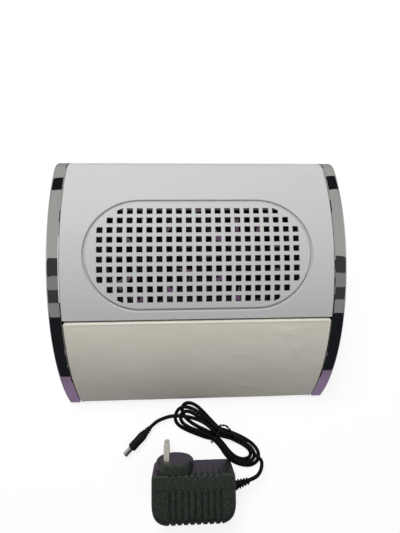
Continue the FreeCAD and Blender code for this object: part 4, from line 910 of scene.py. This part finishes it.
# ---------------------------------------------------------------- the adapter and its lead
# Control points in millimetres: from the strain relief into the tied hank, three loops at each end, then
# over it to the plug. They were set by eye, and a scratch program then moved them until the strands lay
# apart.
LEAD_ROUTE = (
    (52.5, -206.9, 19.5), (59.1, -205.2, 19.2), (64.8, -201.1, 16.9), (67.8, -195.6, 13.8),
    (67.9, -190, 11.7), (62.5, -186.8, 10.2), (56.8, -178.8, 9.3), (48.5, -170.4, 8.6),
    (37.3, -164.3, 6.6), (25.3, -162, 6.8), (15.4, -153.1, 6.2), (5.7, -143.6, 5.6),
    (-4.7, -136.4, 5.8), (-14.3, -133.3, 6.2), (-21.2, -135.7, 5.5), (-24.6, -141.7, 4.1),
    (-25.3, -148.7, 2.4), (-21.3, -154.6, 2), (-11.8, -159.9, 2), (0.2, -164.8, 2),
    (10.6, -168.6, 2.2), (16.2, -169, 3.2), (24.3, -177.7, 2.1), (29.6, -186.6, 2),
    (37.1, -193.8, 2), (47.1, -198, 2), (57.8, -199.1, 2), (65.7, -194.5, 2),
    (67.3, -186.4, 2), (62.4, -178, 2), (53.3, -171.3, 2), (42.2, -165.7, 2),
    (31.8, -161.3, 2.6), (23, -158.7, 3.1), (13.2, -148.4, 2), (5.5, -140, 2),
    (-1.2, -133.8, 2), (-8.3, -130.4, 2), (-15, -131.2, 2), (-17.9, -136.5, 2),
    (-16.1, -143.3, 2), (-10.1, -150.1, 2), (-1.3, -155.8, 2), (8.8, -160.5, 2.1),
    (18.5, -165.5, 3.2), (27.3, -174.4, 2.1), (33.8, -183.3, 2), (40.9, -189.8, 2),
    (49.9, -192.8, 2), (57.7, -190.1, 2), (57.9, -183.4, 2), (50.4, -176.9, 2),
    (40.3, -171.8, 2), (30.4, -167, 2), (20.8, -162.2, 3.2), (14.4, -157.3, 2.4),
    (6.5, -150.3, 2.9), (-2.2, -142.9, 4.6), (-10.9, -138.2, 5.9), (-17.6, -139.6, 6.1),
    (-19.9, -145.6, 5.3), (-16.5, -151.9, 5.5), (-8.4, -156.8, 5.5), (1.9, -160.4, 5.6),
    (11.3, -164, 6), (17.3, -167.3, 6.6), (25.4, -175.1, 5.7), (31, -183.8, 5.3),
    (38.5, -190.7, 5.4), (48, -194.4, 5.5), (57.7, -193.6, 5.5), (62.4, -187.5, 5.5),
    (59.1, -180.1, 5.3), (50.9, -174.1, 4.9), (40.3, -169.9, 5.6), (30, -166.9, 6.1),
    (19.6, -164.1, 6.7), (12.7, -155.2, 6.6), (2.7, -148.4, 8), (-8.3, -144.2, 9.5),
    (-18.7, -142.3, 10.2), (-27.3, -142.7, 7.5), (-35.4, -144.7, 5.2), (-46.9, -149.2, 4.9),
    (-52.5, -154.9, 4.9),
)


@dataclass
class Lead:
    """The adapter's lead: one round cord, wound into a loose hank, that ends in its plug."""

    diameter: float = 3.9 * MM
    length: float = 0.81
    plug: tuple[str, ...] = ("plug_handle", "plug_barrel", "plug_insert")

    def dress(self) -> None:
        route = [Vector(point) * MM for point in LEAD_ROUTE]
        piece = curve_piece("adapter_lead_run", [route], self.diameter, Finish.VINYL, 5, 8)
        seat(piece, Slot.LEAD, "adapter_lead", "lead_hank", "plug_lead")


@dataclass
class WireTie:
    """A thin coated wire drawn round the hank's waist, its two ends twisted and laid along the lead.

    Its places are in millimetres, in the hank's own axes: along it, across it and up.
    """

    middle: tuple[float, float] = (19.6, -163.9)
    turn: float = -34.9
    wire: float = 1.15 * MM
    half: float = 10.6
    top: float = 11.2
    foot: float = 0.62
    twist: float = 0.6
    turns: float = 3.5
    steps: int = 30
    parting: float = 0.18
    tail: tuple[tuple[float, float, float], ...] = (
        (-0.3, 10.4, 5.6), (1.0, 12.6, 7.8), (4.0, 14.0, 9.0), (8.0, 13.4, 9.6), (12.0, 12.0, 9.8),
        (16.0, 10.9, 9.4), (20.0, 9.8, 8.6), (24.0, 8.6, 7.6), (27.8, 7.5, 6.8),
    )

    def place(self, along: float, across: float, up: float) -> Vector:
        """Turn a point in the hank's axes into the frame's."""
        angle = math.radians(self.turn)
        x = self.middle[0] + along * math.cos(angle) - across * math.sin(angle)
        y = self.middle[1] + along * math.sin(angle) + across * math.cos(angle)
        return Vector((x, y, up)) * MM

    def waist(self, side: int) -> list[tuple[float, float, float]]:
        """The control points over the waist, for side 1, or under it, for side -1."""
        half, top, foot = self.half, self.top, self.foot
        if side > 0:
            return [(0.9, -half, 3.4), (0.8, 0.6 - half, 7.0), (0.6, -7.2, top - 0.6), (0.3, -2.6, top),
                    (0.0, 2.6, top), (-0.3, 7.2, top - 0.6), (-0.5, half - 0.6, 7.4)]
        return [(0.9, -half, 3.4), (0.8, 0.4 - half, 1.2), (0.5, -7.6, foot), (0.2, 0.0, foot),
                (-0.1, 7.6, foot), (-0.4, half - 0.2, 1.4), (-0.5, half + 0.2, 3.6)]

    def strand(self, side: int) -> list[Vector]:
        """The control points of one end: past the waist, then its share of the twist.

        Args:
            side: 1 for the end that goes over the hank, or -1 for the end that goes under it.

        Returns:
            The points.
        """
        points = [self.place(*point) for point in self.waist(side)]
        line = [Vector(point) for point in self.tail]
        for step in range(self.steps + 1):
            share = step / self.steps
            spot = share * (len(line) - 1)
            low = min(int(spot), len(line) - 2)
            middle = line[low].lerp(line[low + 1], spot - low)
            angle = 2 * math.pi * self.turns * share + (0 if side > 0 else math.pi)
            apart = max(0.0, share - (1 - self.parting))
            across = middle.y + self.twist * (1 + 2.2 * apart / self.parting) * math.cos(angle)
            points.append(self.place(middle.x + 1.6 * apart * side, across,
                                     middle.z + self.twist * math.sin(angle)))
        return points

    def dress(self) -> None:
        """Build both ends as one piece in place of the tie's solid."""
        strands = [self.strand(side) for side in (1, -1)]
        seat(curve_piece("wire_tie", strands, self.wire, Finish.TIE, 3, 5), Slot.TIE, "lead_tie")


@dataclass
class RatingLabel:
    """The adapter's label, left bare: a thin matt sticker with round corners, opposite the plug disc."""

    width: float = 46 * MM
    height: float = 15 * MM
    rise: float = 4.5 * MM
    shift: float = -0.5 * MM
    corner: float = 1.6 * MM
    corner_steps: int = 6
    thickness: float = 0.12 * MM

    def dress(self) -> None:
        """Build the sticker on the adapter's case."""
        low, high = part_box("adapter_case")
        centre = Vector(((low.x + high.x) / 2 + self.shift, low.y, low.z + self.rise + self.height / 2))
        across, up = self.width / 2 - self.corner, self.height / 2 - self.corner
        outline = []
        for x, z, start in ((1, 1, 0), (-1, 1, 90), (-1, -1, 180), (1, -1, 270)):
            middle = centre + Vector((x * across, 0.0, z * up))
            for cosine, sine in arc(start, 90.0, self.corner_steps):
                outline.append(middle + Vector((cosine, 0.0, sine)) * self.corner)
        inset = [centre + (point - centre) * (1 - 2 * self.thickness / self.height) for point in outline]
        lift = Vector((0.0, -self.thickness, 0.0))
        points = outline + [point + lift * 0.6 for point in outline] + [point + lift for point in inset]
        seat(mesh_piece("adapter_label", points, capped(3, len(outline)), Finish.LABEL), Slot.ADAPTER)


@dataclass
class AdapterBody:
    """The adapter's case in two halves: rounded, ribbed across, with a seam all round.

    Its near side is the one with the plug disc.
    """

    near_corner: float = 4.5 * MM
    far_corner: float = 16.0 * MM
    end_edge: float = 4.5 * MM
    near_edge: float = 2.6 * MM
    far_edge: float = 9.5 * MM
    near_steps: int = 6
    far_steps: int = 12
    foot_edge: float = 2.5 * MM
    rib_pitch: float = 6.4 * MM
    rib_count: int = 9
    rib_shift: float = 1.6 * MM
    rib_width: float = 3.2 * MM
    rib_depth: float = 1.5 * MM
    rib_ease: float = 0.8 * MM
    near_rib_gap: float = 1.5 * MM
    near_rib_drop: float = 9 * MM
    far_rib_gap: float = 2.2 * MM
    far_rib_rise: float = 15 * MM
    seam_width: float = 0.55 * MM
    seam_depth: float = 0.5 * MM
    end_cuts: tuple[float, ...] = (0.0, 0.1, 0.4, 0.9, 1.6, 2.5, 3.5, 4.5, 6, 8, 10.5, 13.5, 16)
    sharp: float = 38.0

    def __post_init__(self) -> None:
        """Read the case's limits from its two solids."""
        self.low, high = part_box("adapter_case")
        lid_low, self.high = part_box("adapter_lid")
        self.seam = lid_low.y
        self.middle = (self.low.x + self.high.x) / 2
        self.half = (self.high.x - self.low.x) / 2
        self.ribs = [self.middle + self.rib_shift + (number - (self.rib_count - 1) / 2) * self.rib_pitch
                     for number in range(self.rib_count)]

    @staticmethod
    def rounding(gap: float, radius: float) -> float:
        """How far a rounded edge draws in at a distance from where it ends."""
        if gap >= radius:
            return 0.0
        return radius - math.sqrt(max(radius ** 2 - (radius - gap) ** 2, 0.0))

    def stations(self) -> list[float]:
        """Places along X that crowd at both ends and inside each rib groove."""
        places = {self.middle + round(side * (self.half - cut * MM), 6)
                  for side in (-1, 1) for cut in self.end_cuts}
        for rib in self.ribs:
            places.update(rib + self.rib_width / 2 * step / 4 for step in range(-4, 5))
        return sorted(places)

    def groove(self, x: float) -> float:
        """A rib groove's depth at a place along X."""
        gap = min(abs(x - rib) for rib in self.ribs) / (self.rib_width / 2)
        return self.rib_depth * (0.5 + 0.5 * math.cos(math.pi * gap)) if gap < 1 else 0.0

    def mask(self, y: float, z: float) -> float:
        """1 where the grooves run, falling to 0 where they end."""
        if y > self.seam:
            run = min(y - self.high.y + self.near_edge + self.near_rib_gap,
                      z - self.high.z + self.near_rib_drop)
        else:
            run = min(self.seam - self.far_rib_gap - y, z - self.far_rib_rise)
        return max(0.0, min(1.0, run / self.rib_ease))

    def on_seam(self, y: float) -> bool:
        """Whether a place lies in the seam's bottom."""
        return abs(y - self.seam) < 0.0001 * MM

    def section(self, gap: float) -> tuple[list[tuple[float, ...]], int, int]:
        """The section's outline, before its grooves.

        Args:
            gap: The section's distance from the nearer end.

        Returns:
            Y, Z and the outward way of each point over the top, down the far side, along the foot and up the
            near side, and how many points the top and the far side have.
        """
        near = self.high.y - self.rounding(gap, self.near_corner)
        far = self.low.y + self.rounding(gap, self.far_corner)
        top = self.high.z - self.rounding(gap, self.end_edge)
        foot = self.low.z + self.rounding(gap, self.foot_edge)
        start, end = near - self.near_edge, far + self.far_edge
        over: list[tuple[float, ...]] = []
        for out_y, out_z in arc(0.0, 90.0, self.near_steps):
            over.append((start + self.near_edge * out_y, top - self.near_edge * (1 - out_z), out_y, out_z))
        marks = [start - (start - self.seam) * share for share in (0.3, 0.6, 0.8)]
        marks += [self.seam + self.seam_width / 2 * side for side in (1, 0, -1)]
        marks += [self.seam - (self.seam - end) * share
                  for share in (0.05, 0.1, 0.13, 0.2, 0.4, 0.6, 0.8, 0.92)]
        over += [(y, top, 0.0, 1.0) for y in marks]
        for out_y, out_z in arc(90.0, 90.0, self.far_steps):
            over.append((end + self.far_edge * out_y, top - self.far_edge * (1 - out_z), out_y, out_z))
        low, side_top, near_top = foot + self.foot_edge, top - self.far_edge, top - self.near_edge
        down = [(far, side_top - (side_top - low) * share, -1.0, 0.0)
                for share in (0.15, 0.3, 0.4, 0.5, 0.6, 0.8, 1.0)]
        under = [(point[0], foot, 0.0, -1.0) for point in reversed(over)]
        up = [(near, low + (near_top - low) * share, 1.0, 0.0) for share in (0.0, 0.1, 0.15, 0.3, 0.6, 0.85)]
        return over + down + under + up, len(over), len(down)

    def dress(self) -> None:
        """Build the case as sections joined along X, closed by a ladder of faces at each end."""
        stations = self.stations()
        points: list[Vector] = []
        for x in stations:
            section, top, side = self.section(self.half - abs(x - self.middle))
            for y, z, out_y, out_z in section:
                depth = self.groove(x) * self.mask(y, z) if out_z >= 0 else 0.0
                if self.on_seam(y):
                    depth = self.seam_depth
                points.append(Vector((x, y - out_y * depth, z - out_z * depth)))
        around = len(points) // len(stations)
        faces = stitch(len(stations), around)
        for base, way in ((0, 1), (len(points) - around, -1)):
            opposite = [base + top + side + (top - 1 - step) for step in range(top)]
            for step in range(top - 1):
                faces.append((base + step, base + step + 1, opposite[step + 1], opposite[step])[::way])
            far = tuple(range(base + top - 1, base + top + side + 1))
            near = (*range(base + top + side + top - 1, base + around), base)
            faces += [far[::way], near[::way]]
            for step in range(top):
                if self.on_seam(points[base + step].y):
                    points[base + step].x += self.seam_depth * way
                    points[opposite[step]].x += self.seam_depth * way
        piece = mesh_piece("adapter_body", points, faces, Finish.ADAPTER, self.sharp)
        seat(piece, Slot.ADAPTER, "adapter_case", "adapter_lid")


@dataclass
class PlugPins:
    """The adapter's two flat pins, slanted, with round tips and softened edges."""

    width: float = 6.35 * MM
    thickness: float = 1.6 * MM
    tip: float = 2.6 * MM
    tip_steps: int = 6
    bevel: float = 0.3 * MM
    pitch: float = 13.7 * MM
    slant: float = 30.0
    sharp: float = 50.0

    def outline(self, inset: float, length: float) -> list[tuple[float, float]]:
        """One pin's outline: across and along."""
        half, tip = self.width / 2 - inset, self.tip - inset
        points = [(half, 0.0)]
        for corner, start in ((half - tip, 0.0), (tip - half, 90.0)):
            for cosine, sine in arc(start, 90.0, self.tip_steps):
                points.append((corner + tip * cosine, length - inset - tip + tip * sine))
        points.append((-half, 0.0))
        return points

    def dress(self) -> None:
        """Build both pins as one piece in place of their solid."""
        low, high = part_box("adapter_blades")
        middle, half = (low + high) / 2, self.thickness / 2
        flat = half - self.bevel
        levels = ((-half, self.bevel), (-flat, 0.0), (flat, 0.0), (half, self.bevel))
        points: list[Vector] = []
        faces: list[Face] = []
        for side in (1, -1):
            turn = Matrix.Rotation(math.radians(-self.slant * side), 3, "Y")
            origin = Vector((middle.x, low.y, middle.z + side * self.pitch / 2))
            start = len(points)
            for level, inset in levels:
                for across, along in self.outline(inset, high.y - low.y):
                    points.append(origin + turn @ Vector((across, along, level)))
            around = (len(points) - start) // len(levels)
            faces += [tuple(start + spot for spot in face) for face in capped(len(levels), around)]
        piece = mesh_piece("plug_pins", points, faces, Finish.BLADE, self.sharp)
        seat(piece, Slot.PIN, "adapter_blades")


@dataclass
class StrainRelief:
    """The ribbed sleeve where the lead leaves the adapter: a cone, then rings that grow smaller.

    Its sizes are in millimetres.
    """

    heading: float = 15.0
    length: float = 17.2
    collar: float = 5.2
    cone: float = 5.0
    rings: int = 4
    first: float = 4.6
    last: float = 3.5
    notch: float = 1.25
    mouth: float = 2.05

    def profile(self) -> list[tuple[float, float]]:
        """Distance along the axis and radius of each ring."""
        points = [(-1.2, self.collar - 0.4), (0.9, self.collar), (1.6, self.collar - 0.25),
                  (4.2, self.first - 0.5), (4.6, self.first - self.notch)]
        pitch = (self.length - self.cone) / self.rings
        for number in range(self.rings):
            start = self.cone + pitch * number
            crest = self.first + (self.last - self.first) * number / (self.rings - 1)
            for along, drop in ((0.0, self.notch), (0.1, 0.4), (0.35, 0.0), (pitch * 0.5, 0.0),
                                (pitch * 0.62, 0.4), (pitch * 0.66, self.notch)):
                points.append((start + along, crest - drop))
        points += [(self.length, self.last - self.notch), (self.length + 0.3, self.mouth)]
        return points

    def dress(self) -> None:
        """Build the sleeve in place of its solid."""
        low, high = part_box("strain_relief")
        middle = (low + high) / 2
        slope = math.tan(math.radians(self.heading))
        origin = Vector((low.x, middle.y - (middle.x - low.x) * slope, middle.z))
        piece = lathe("relief_sleeve", self.profile(), origin, self.heading, Finish.VINYL)
        seat(piece, Slot.LEAD, "strain_relief")


@dataclass
class PlugGrip:
    """The moulded grip of the lead's plug: a ridged neck and a smooth, slightly waisted body.

    Its sizes are in millimetres.
    """

    heading: float = -134.5
    length: float = 29.0
    body: float = 4.8
    neck: float = 2.6
    mouth: float = 1.9
    ridges: int = 4
    ridged: float = 10.0
    barrel: float = 9.5

    def profile(self) -> list[tuple[float, float]]:
        """Distance along the axis and radius of each ring."""
        points = [(0.0, self.mouth), (0.2, self.neck - 0.2), (0.4, self.neck)]
        pitch = self.ridged / self.ridges
        for number in range(self.ridges):
            start = 0.4 + pitch * number
            crest = self.neck + (self.body - self.neck) * (number + 1) / (self.ridges + 1)
            for along, drop in ((0.1, 1.15), (1.1, 1.1), (1.2, 0.3), (1.4, 0.0), (pitch - 0.15, -0.05),
                                (pitch, 0.2)):
                points.append((start + along, crest - drop))
        for along, drop in ((11.4, 0.15), (12.4, 0.0), (16.0, 0.05), (20.0, 0.18), (24.0, 0.1), (27.4, 0.06),
                            (28.2, 0.25), (28.7, 0.6), (29.0, 1.2), (29.0, 2.0)):
            points.append((along, self.body - drop))
        return points

    def dress(self) -> None:
        """Build the grip in place of its solid."""
        turn = math.radians(self.heading)
        ahead = Vector((math.cos(turn), math.sin(turn), 0.0)) * self.length * MM
        low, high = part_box("plug_barrel")
        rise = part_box("plug_grip")[0].z + self.body * MM
        tip = Vector(((low.x + high.x) / 2, (low.y + high.y) / 2, rise))
        origin = tip - ahead * (1 + self.barrel / self.length / 2)
        piece = lathe("plug_handle", self.profile(), origin, self.heading, Finish.GRIP)
        seat(piece, Slot.LEAD, "plug_grip")


# ---------------------------------------------------------------- the pieces that keep their solids
@dataclass
class PlainSolids:
    """The pieces whose solids are already right: each gets its own finish, and two get softened edges."""

    finishes: tuple[tuple[str, Finish], ...] = (
        ("top_shell", Finish.SHELL), ("fan_tray", Finish.INNER), ("base_frame", Finish.INNER),
        ("foam", Finish.FOAM), ("rest_board", Finish.BOARD), ("foot", Finish.RUBBER),
        ("fan_frame", Finish.FAN), ("impeller", Finish.FAN), ("magnet_ring", Finish.MAGNET),
        ("fan_bearing", Finish.BRONZE), ("fan_board", Finish.CIRCUIT), ("fan_stator", Finish.COPPER),
        ("switch_housing", Finish.SWITCH), ("switch_rocker", Finish.SWITCH), ("power_inlet", Finish.SWITCH),
        ("adapter_disc", Finish.ADAPTER), ("plug_barrel", Finish.BARREL), ("plug_insert", Finish.INSERT),
    )
    softened: tuple[tuple[str, float], ...] = (("top_shell", 0.65 * MM), ("adapter_disc", 0.5 * MM))
    crease: float = 35.0

    def dress(self) -> None:
        """Give every solid the finish that a part of its name stands for, or else plated steel."""
        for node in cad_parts:
            piece = bpy.data.objects[node]
            finish = next((finish for word, finish in self.finishes if word in node), Finish.STEEL)
            if not piece.material_slots:
                piece.data.materials.append(finish.material)
            for place in piece.material_slots:
                place.material = finish.material
        for node, width in self.softened:
            self.soften(bpy.data.objects[node], width)

    def soften(self, piece: Piece, width: float) -> None:
        """Round a piece's edges off by a width."""
        bevel = piece.modifiers.new("softened edges", "BEVEL")
        bevel.width, bevel.segments = width, 2
        bevel.limit_method, bevel.angle_limit = "ANGLE", math.radians(self.crease)
        bevel.use_clamp_overlap = True
        piece.modifiers.new("weighted normals", "WEIGHTED_NORMAL").keep_sharp = True


# ---------------------------------------------------------------- floor, light and camera
@dataclass(frozen=True)
class BoardShades:
    """The bands on a board that the bright trim mirrors, each by its end's angle in front of straight up."""

    bands: tuple[tuple[float, Colour], ...] = (
        (-60.0, (0.42, 0.42, 0.40)), (-50.0, (0.012, 0.013, 0.015)), (0.0, (0.42, 0.42, 0.40)),
        (10.0, (0.05, 0.05, 0.05)), (20.0, (0.25, 0.25, 0.25)), (30.0, (0.05, 0.05, 0.05)),
        (40.0, (0.25, 0.25, 0.25)), (180.0, (0.012, 0.013, 0.015)),
    )
    ripple: float = 0.010
    drift: float = 0.0

    def material(self, name: str) -> Material:
        """Build the node material.

        Args:
            name: The material's name.

        Returns:
            The material.
        """
        graph = Graph(name)
        _, y, z = graph.axes()
        angle = graph.math("ARCTAN2", graph.math("MULTIPLY", y, -1.0), z)
        share = graph.fit(angle, 0.0, 1.0, -math.pi, math.pi)
        share = graph.math("ADD", share, graph.patchy(9.0, 3.0, -self.ripple, self.ripple))
        ramp = graph.add("ShaderNodeValToRGB")
        steps = ramp.color_ramp.elements
        ramp.color_ramp.interpolation = "CONSTANT"
        steps[0].color = (*self.bands[0][1], 1.0)
        for (start, _), (_, shade) in zip(self.bands, self.bands[1:]):
            steps.new((start + 180) / 360).color = (*shade, 1.0)
        steps.remove(steps[-1])
        graph.link(share, ramp.inputs["Fac"])
        glow = graph.add("ShaderNodeEmission")
        graph.link(ramp.outputs["Color"], glow.inputs["Color"])
        if self.drift:
            strength = graph.patchy(2.2, 1.0, 1 - self.drift, 1 + self.drift, 0.3, 0.7)
            graph.link(strength, glow.inputs["Strength"])
        graph.link(glow.outputs[0], graph.output.inputs["Surface"])
        graph.material.cycles.emission_sampling = "NONE"
        return graph.material


@dataclass
class Studio:
    """A pale table, soft lamps, boards and cloths that only gloss shows, a glowing sheet below as painted
    light, and the camera.
    """

    table: float = 6.0
    paper: Colour = (0.62, 0.62, 0.62)
    ambient: float = 0.24
    glow: float = 1.36
    glow_share: float = 0.6
    aim: tuple[float, float, float] = (0.0, -0.05, 0.05)
    cloth_drift: float = 0.3
    cloth_height: float = 0.6 * MM
    cloths: tuple[tuple, ...] = (
        ("front_cloth", (-1.6, 1.6), (-0.9, -0.1), (0.21, 0.15, 0.235)),
        ("back_cloth", (-0.131, 0.131), (0.08, 0.9), (0.1, 0.1, 0.1)),
        ("left_cloth", (-1.6, -0.131), (-0.1, 0.9), (0.36, 0.36, 0.355)),
        ("right_cloth", (0.131, 1.6), (-0.1, 0.9), (0.36, 0.36, 0.355)),
    )
    board_radius: float = 0.8
    board_reach: float = 1.6
    board_start: float = -100.0
    board_sweep: float = 195.0
    board_steps: int = 72
    under_height: float = 0.4 * MM
    # Painted light: the glow of the sheet under the housing.
    under_glow_colour: Colour = (0.085, 0.054, 0.085)
    lens: float = 25.285
    sensor: float = 36.0
    nearest: float = 0.01
    camera_place: tuple[float, float, float] = (-16.94 * MM, -32.83 * MM, 436.8 * MM)
    camera_ahead: tuple[float, float, float] = (0.05076, 0.12687, -0.99062)
    camera_side: tuple[float, float, float] = (0.99865, -0.01716, 0.04898)

    def build(self) -> None:
        """Build everything that isn't part of the object."""
        half = self.table / 2
        self.lay("table_top", (-half, half), (-half, half), 0.0, self.paper_material())
        self.build_world()
        self.add_lamp("key_lamp", (-0.28, 0.8, 1.2), 0.7, 15.2, (1.0, 0.998, 0.99))
        self.add_lamp("fill_lamp", (0.75, -0.35, 1.2), 0.6, 1.4, (0.97, 0.985, 1.0))
        self.build_boards()
        for name, across, along, shade in self.cloths:
            cover = BoardShades(((180.0, shade),), drift=self.cloth_drift).material(name)
            self.gloss_only(self.lay(name, across, along, self.cloth_height, cover))
        # Painted light: a dim mauve sheet under the housing glows for the camera and is seen through the
        # holes.
        mauve = BoardShades(((180.0, self.under_glow_colour),)).material("under_glow_sheet")
        self.lay("under_glow_sheet", (-0.118, 0.118), (-0.1, 0.118), self.under_height, mauve)
        self.build_camera()

    @staticmethod
    def lay(name: str, across: tuple[float, float], along: tuple[float, float], height: float,
            cover: Material) -> Piece:
        """Lay a level sheet.

        Args:
            name: The sheet's name.
            across: Where it begins and ends along X.
            along: Where it begins and ends along Y.
            height: How high it lies.
            cover: Its material.

        Returns:
            The sheet.
        """
        (left, right), (front, back) = across, along
        points = [(left, front, height), (right, front, height), (right, back, height), (left, back, height)]
        sheet = add_object(name, mesh_data(name, points, [(0, 1, 2, 3)], cover))
        return sheet

    @staticmethod
    def gloss_only(card: Piece) -> None:
        """Hide a board from every ray but a glossy one."""
        card.visible_camera = card.visible_diffuse = card.visible_shadow = card.visible_transmission = False

    @staticmethod
    def looked_at(tree: bpy.types.NodeTree) -> Socket:
        """A value of 1 for rays from the camera, from bright metal and through clear pieces, or else 0."""
        path = tree.nodes.new("ShaderNodeLightPath")
        total = path.outputs["Is Camera Ray"]
        for kind in ("Is Glossy Ray", "Is Transmission Ray"):
            either = tree.nodes.new("ShaderNodeMath")
            either.operation = "MAXIMUM"
            tree.links.new(total, either.inputs[0])
            tree.links.new(path.outputs[kind], either.inputs[1])
            total = either.outputs[0]
        return total

    @staticmethod
    def blend(tree: bpy.types.NodeTree, share: Socket, *looks: Socket) -> Socket:
        """Mix two shaders, with more of the second one the higher the share."""
        mixer = tree.nodes.new("ShaderNodeMixShader")
        for source, target in zip((share, *looks), mixer.inputs):
            tree.links.new(source, target)
        return mixer.outputs[0]

    def paper_material(self) -> Material:
        """White paper that keeps soft shadows, and gives off light of its own where it is looked at."""
        graph = Graph("table_paper")
        graph.surface(Base_Color=graph.patchy(3.0, 2.0, dimmed(self.paper, 0.995), self.paper, 0.3, 0.7),
                      Roughness=0.9, Specular_IOR_Level=0.1)
        white = graph.add("ShaderNodeEmission", Strength=self.glow)
        share = graph.math("MULTIPLY", self.looked_at(graph.tree), self.glow_share)
        look = self.blend(graph.tree, share, graph.shader.outputs[0], white.outputs[0])
        graph.link(look, graph.output.inputs["Surface"])
        return graph.material

    def build_world(self) -> None:
        """Even light from all round, white where it is looked at directly."""
        world = bpy.data.worlds.new("studio")
        bpy.context.scene.world = world
        world.use_nodes = True
        tree = world.node_tree
        tree.nodes.clear()
        looks = []
        for strength in (self.ambient, 1.0):
            light = tree.nodes.new("ShaderNodeBackground")
            light.inputs["Color"].default_value = (1.0, 1.0, 1.0, 1.0)
            light.inputs["Strength"].default_value = strength
            looks.append(light.outputs[0])
        output = tree.nodes.new("ShaderNodeOutputWorld")
        tree.links.new(self.blend(tree, self.looked_at(tree), *looks), output.inputs["Surface"])

    def add_lamp(self, name: str, place: tuple, size: float, power: float, tint: Colour) -> None:
        """Add a square soft lamp that looks at the object and that gloss doesn't show.

        Args:
            name: The lamp's name.
            place: Where it stands.
            size: Its side.
            power: Its power in watts.
            tint: Its colour.
        """
        lamp = bpy.data.lights.new(name, "AREA")
        lamp.shape = "SQUARE"
        lamp.size = size
        lamp.energy = power
        lamp.color = tint
        holder = add_object(name, lamp)
        turn = (Vector(self.aim) - Vector(place)).to_track_quat("-Z", "Y")
        holder.matrix_world = Matrix.Translation(place) @ turn.to_matrix().to_4x4()
        holder.visible_glossy = False

    def build_boards(self) -> None:
        """Bend a banded board over each half of the object."""
        for name, reach in (("left_board", -self.board_reach), ("right_board", self.board_reach)):
            points, faces = [], []
            for step in range(self.board_steps + 1):
                angle = math.radians(self.board_start + self.board_sweep * step / self.board_steps)
                y, z = -self.board_radius * math.sin(angle), self.board_radius * math.cos(angle)
                points += [(0.0, y, z), (reach, y, z)]
                if step:
                    faces.append((2 * step - 2, 2 * step - 1, 2 * step + 1, 2 * step))
            board = add_object(name, mesh_data(name, points, faces, BoardShades().material(name)))
            self.gloss_only(board)

    def build_camera(self) -> None:
        """Look down at the object from above its front."""
        data = bpy.data.cameras.new("studio_camera")
        data.lens = self.lens
        data.sensor_width = self.sensor
        data.clip_start = self.nearest
        camera = add_object("studio_camera", data)
        ahead = Vector(self.camera_ahead).normalized()
        side = Vector(self.camera_side)
        side = (side - ahead * side.dot(ahead)).normalized()
        turn = Matrix((side, side.cross(ahead), -ahead)).transposed()
        camera.matrix_world = Matrix.Translation(Vector(self.camera_place)) @ turn.to_4x4()
        bpy.context.scene.camera = camera
        bpy.context.scene.view_settings.view_transform = "Standard"


def main() -> None:
    """Build and dress every sub-assembly in order."""
    logging.basicConfig(level=logging.INFO, format="%(message)s")
    PlainSolids().dress()
    LOG.info("solids dressed")
    for part in (PlugGrip(), StrainRelief(), Lead(), WireTie(), SideCap("left"), SideCap("right"), Cushion(),
                 AdapterBody(), PlugPins(), RatingLabel()):
        part.dress()
        LOG.info("built %s", part)
    Studio().build()
    LOG.info("studio built")


if __name__ == "__main__":
    main()
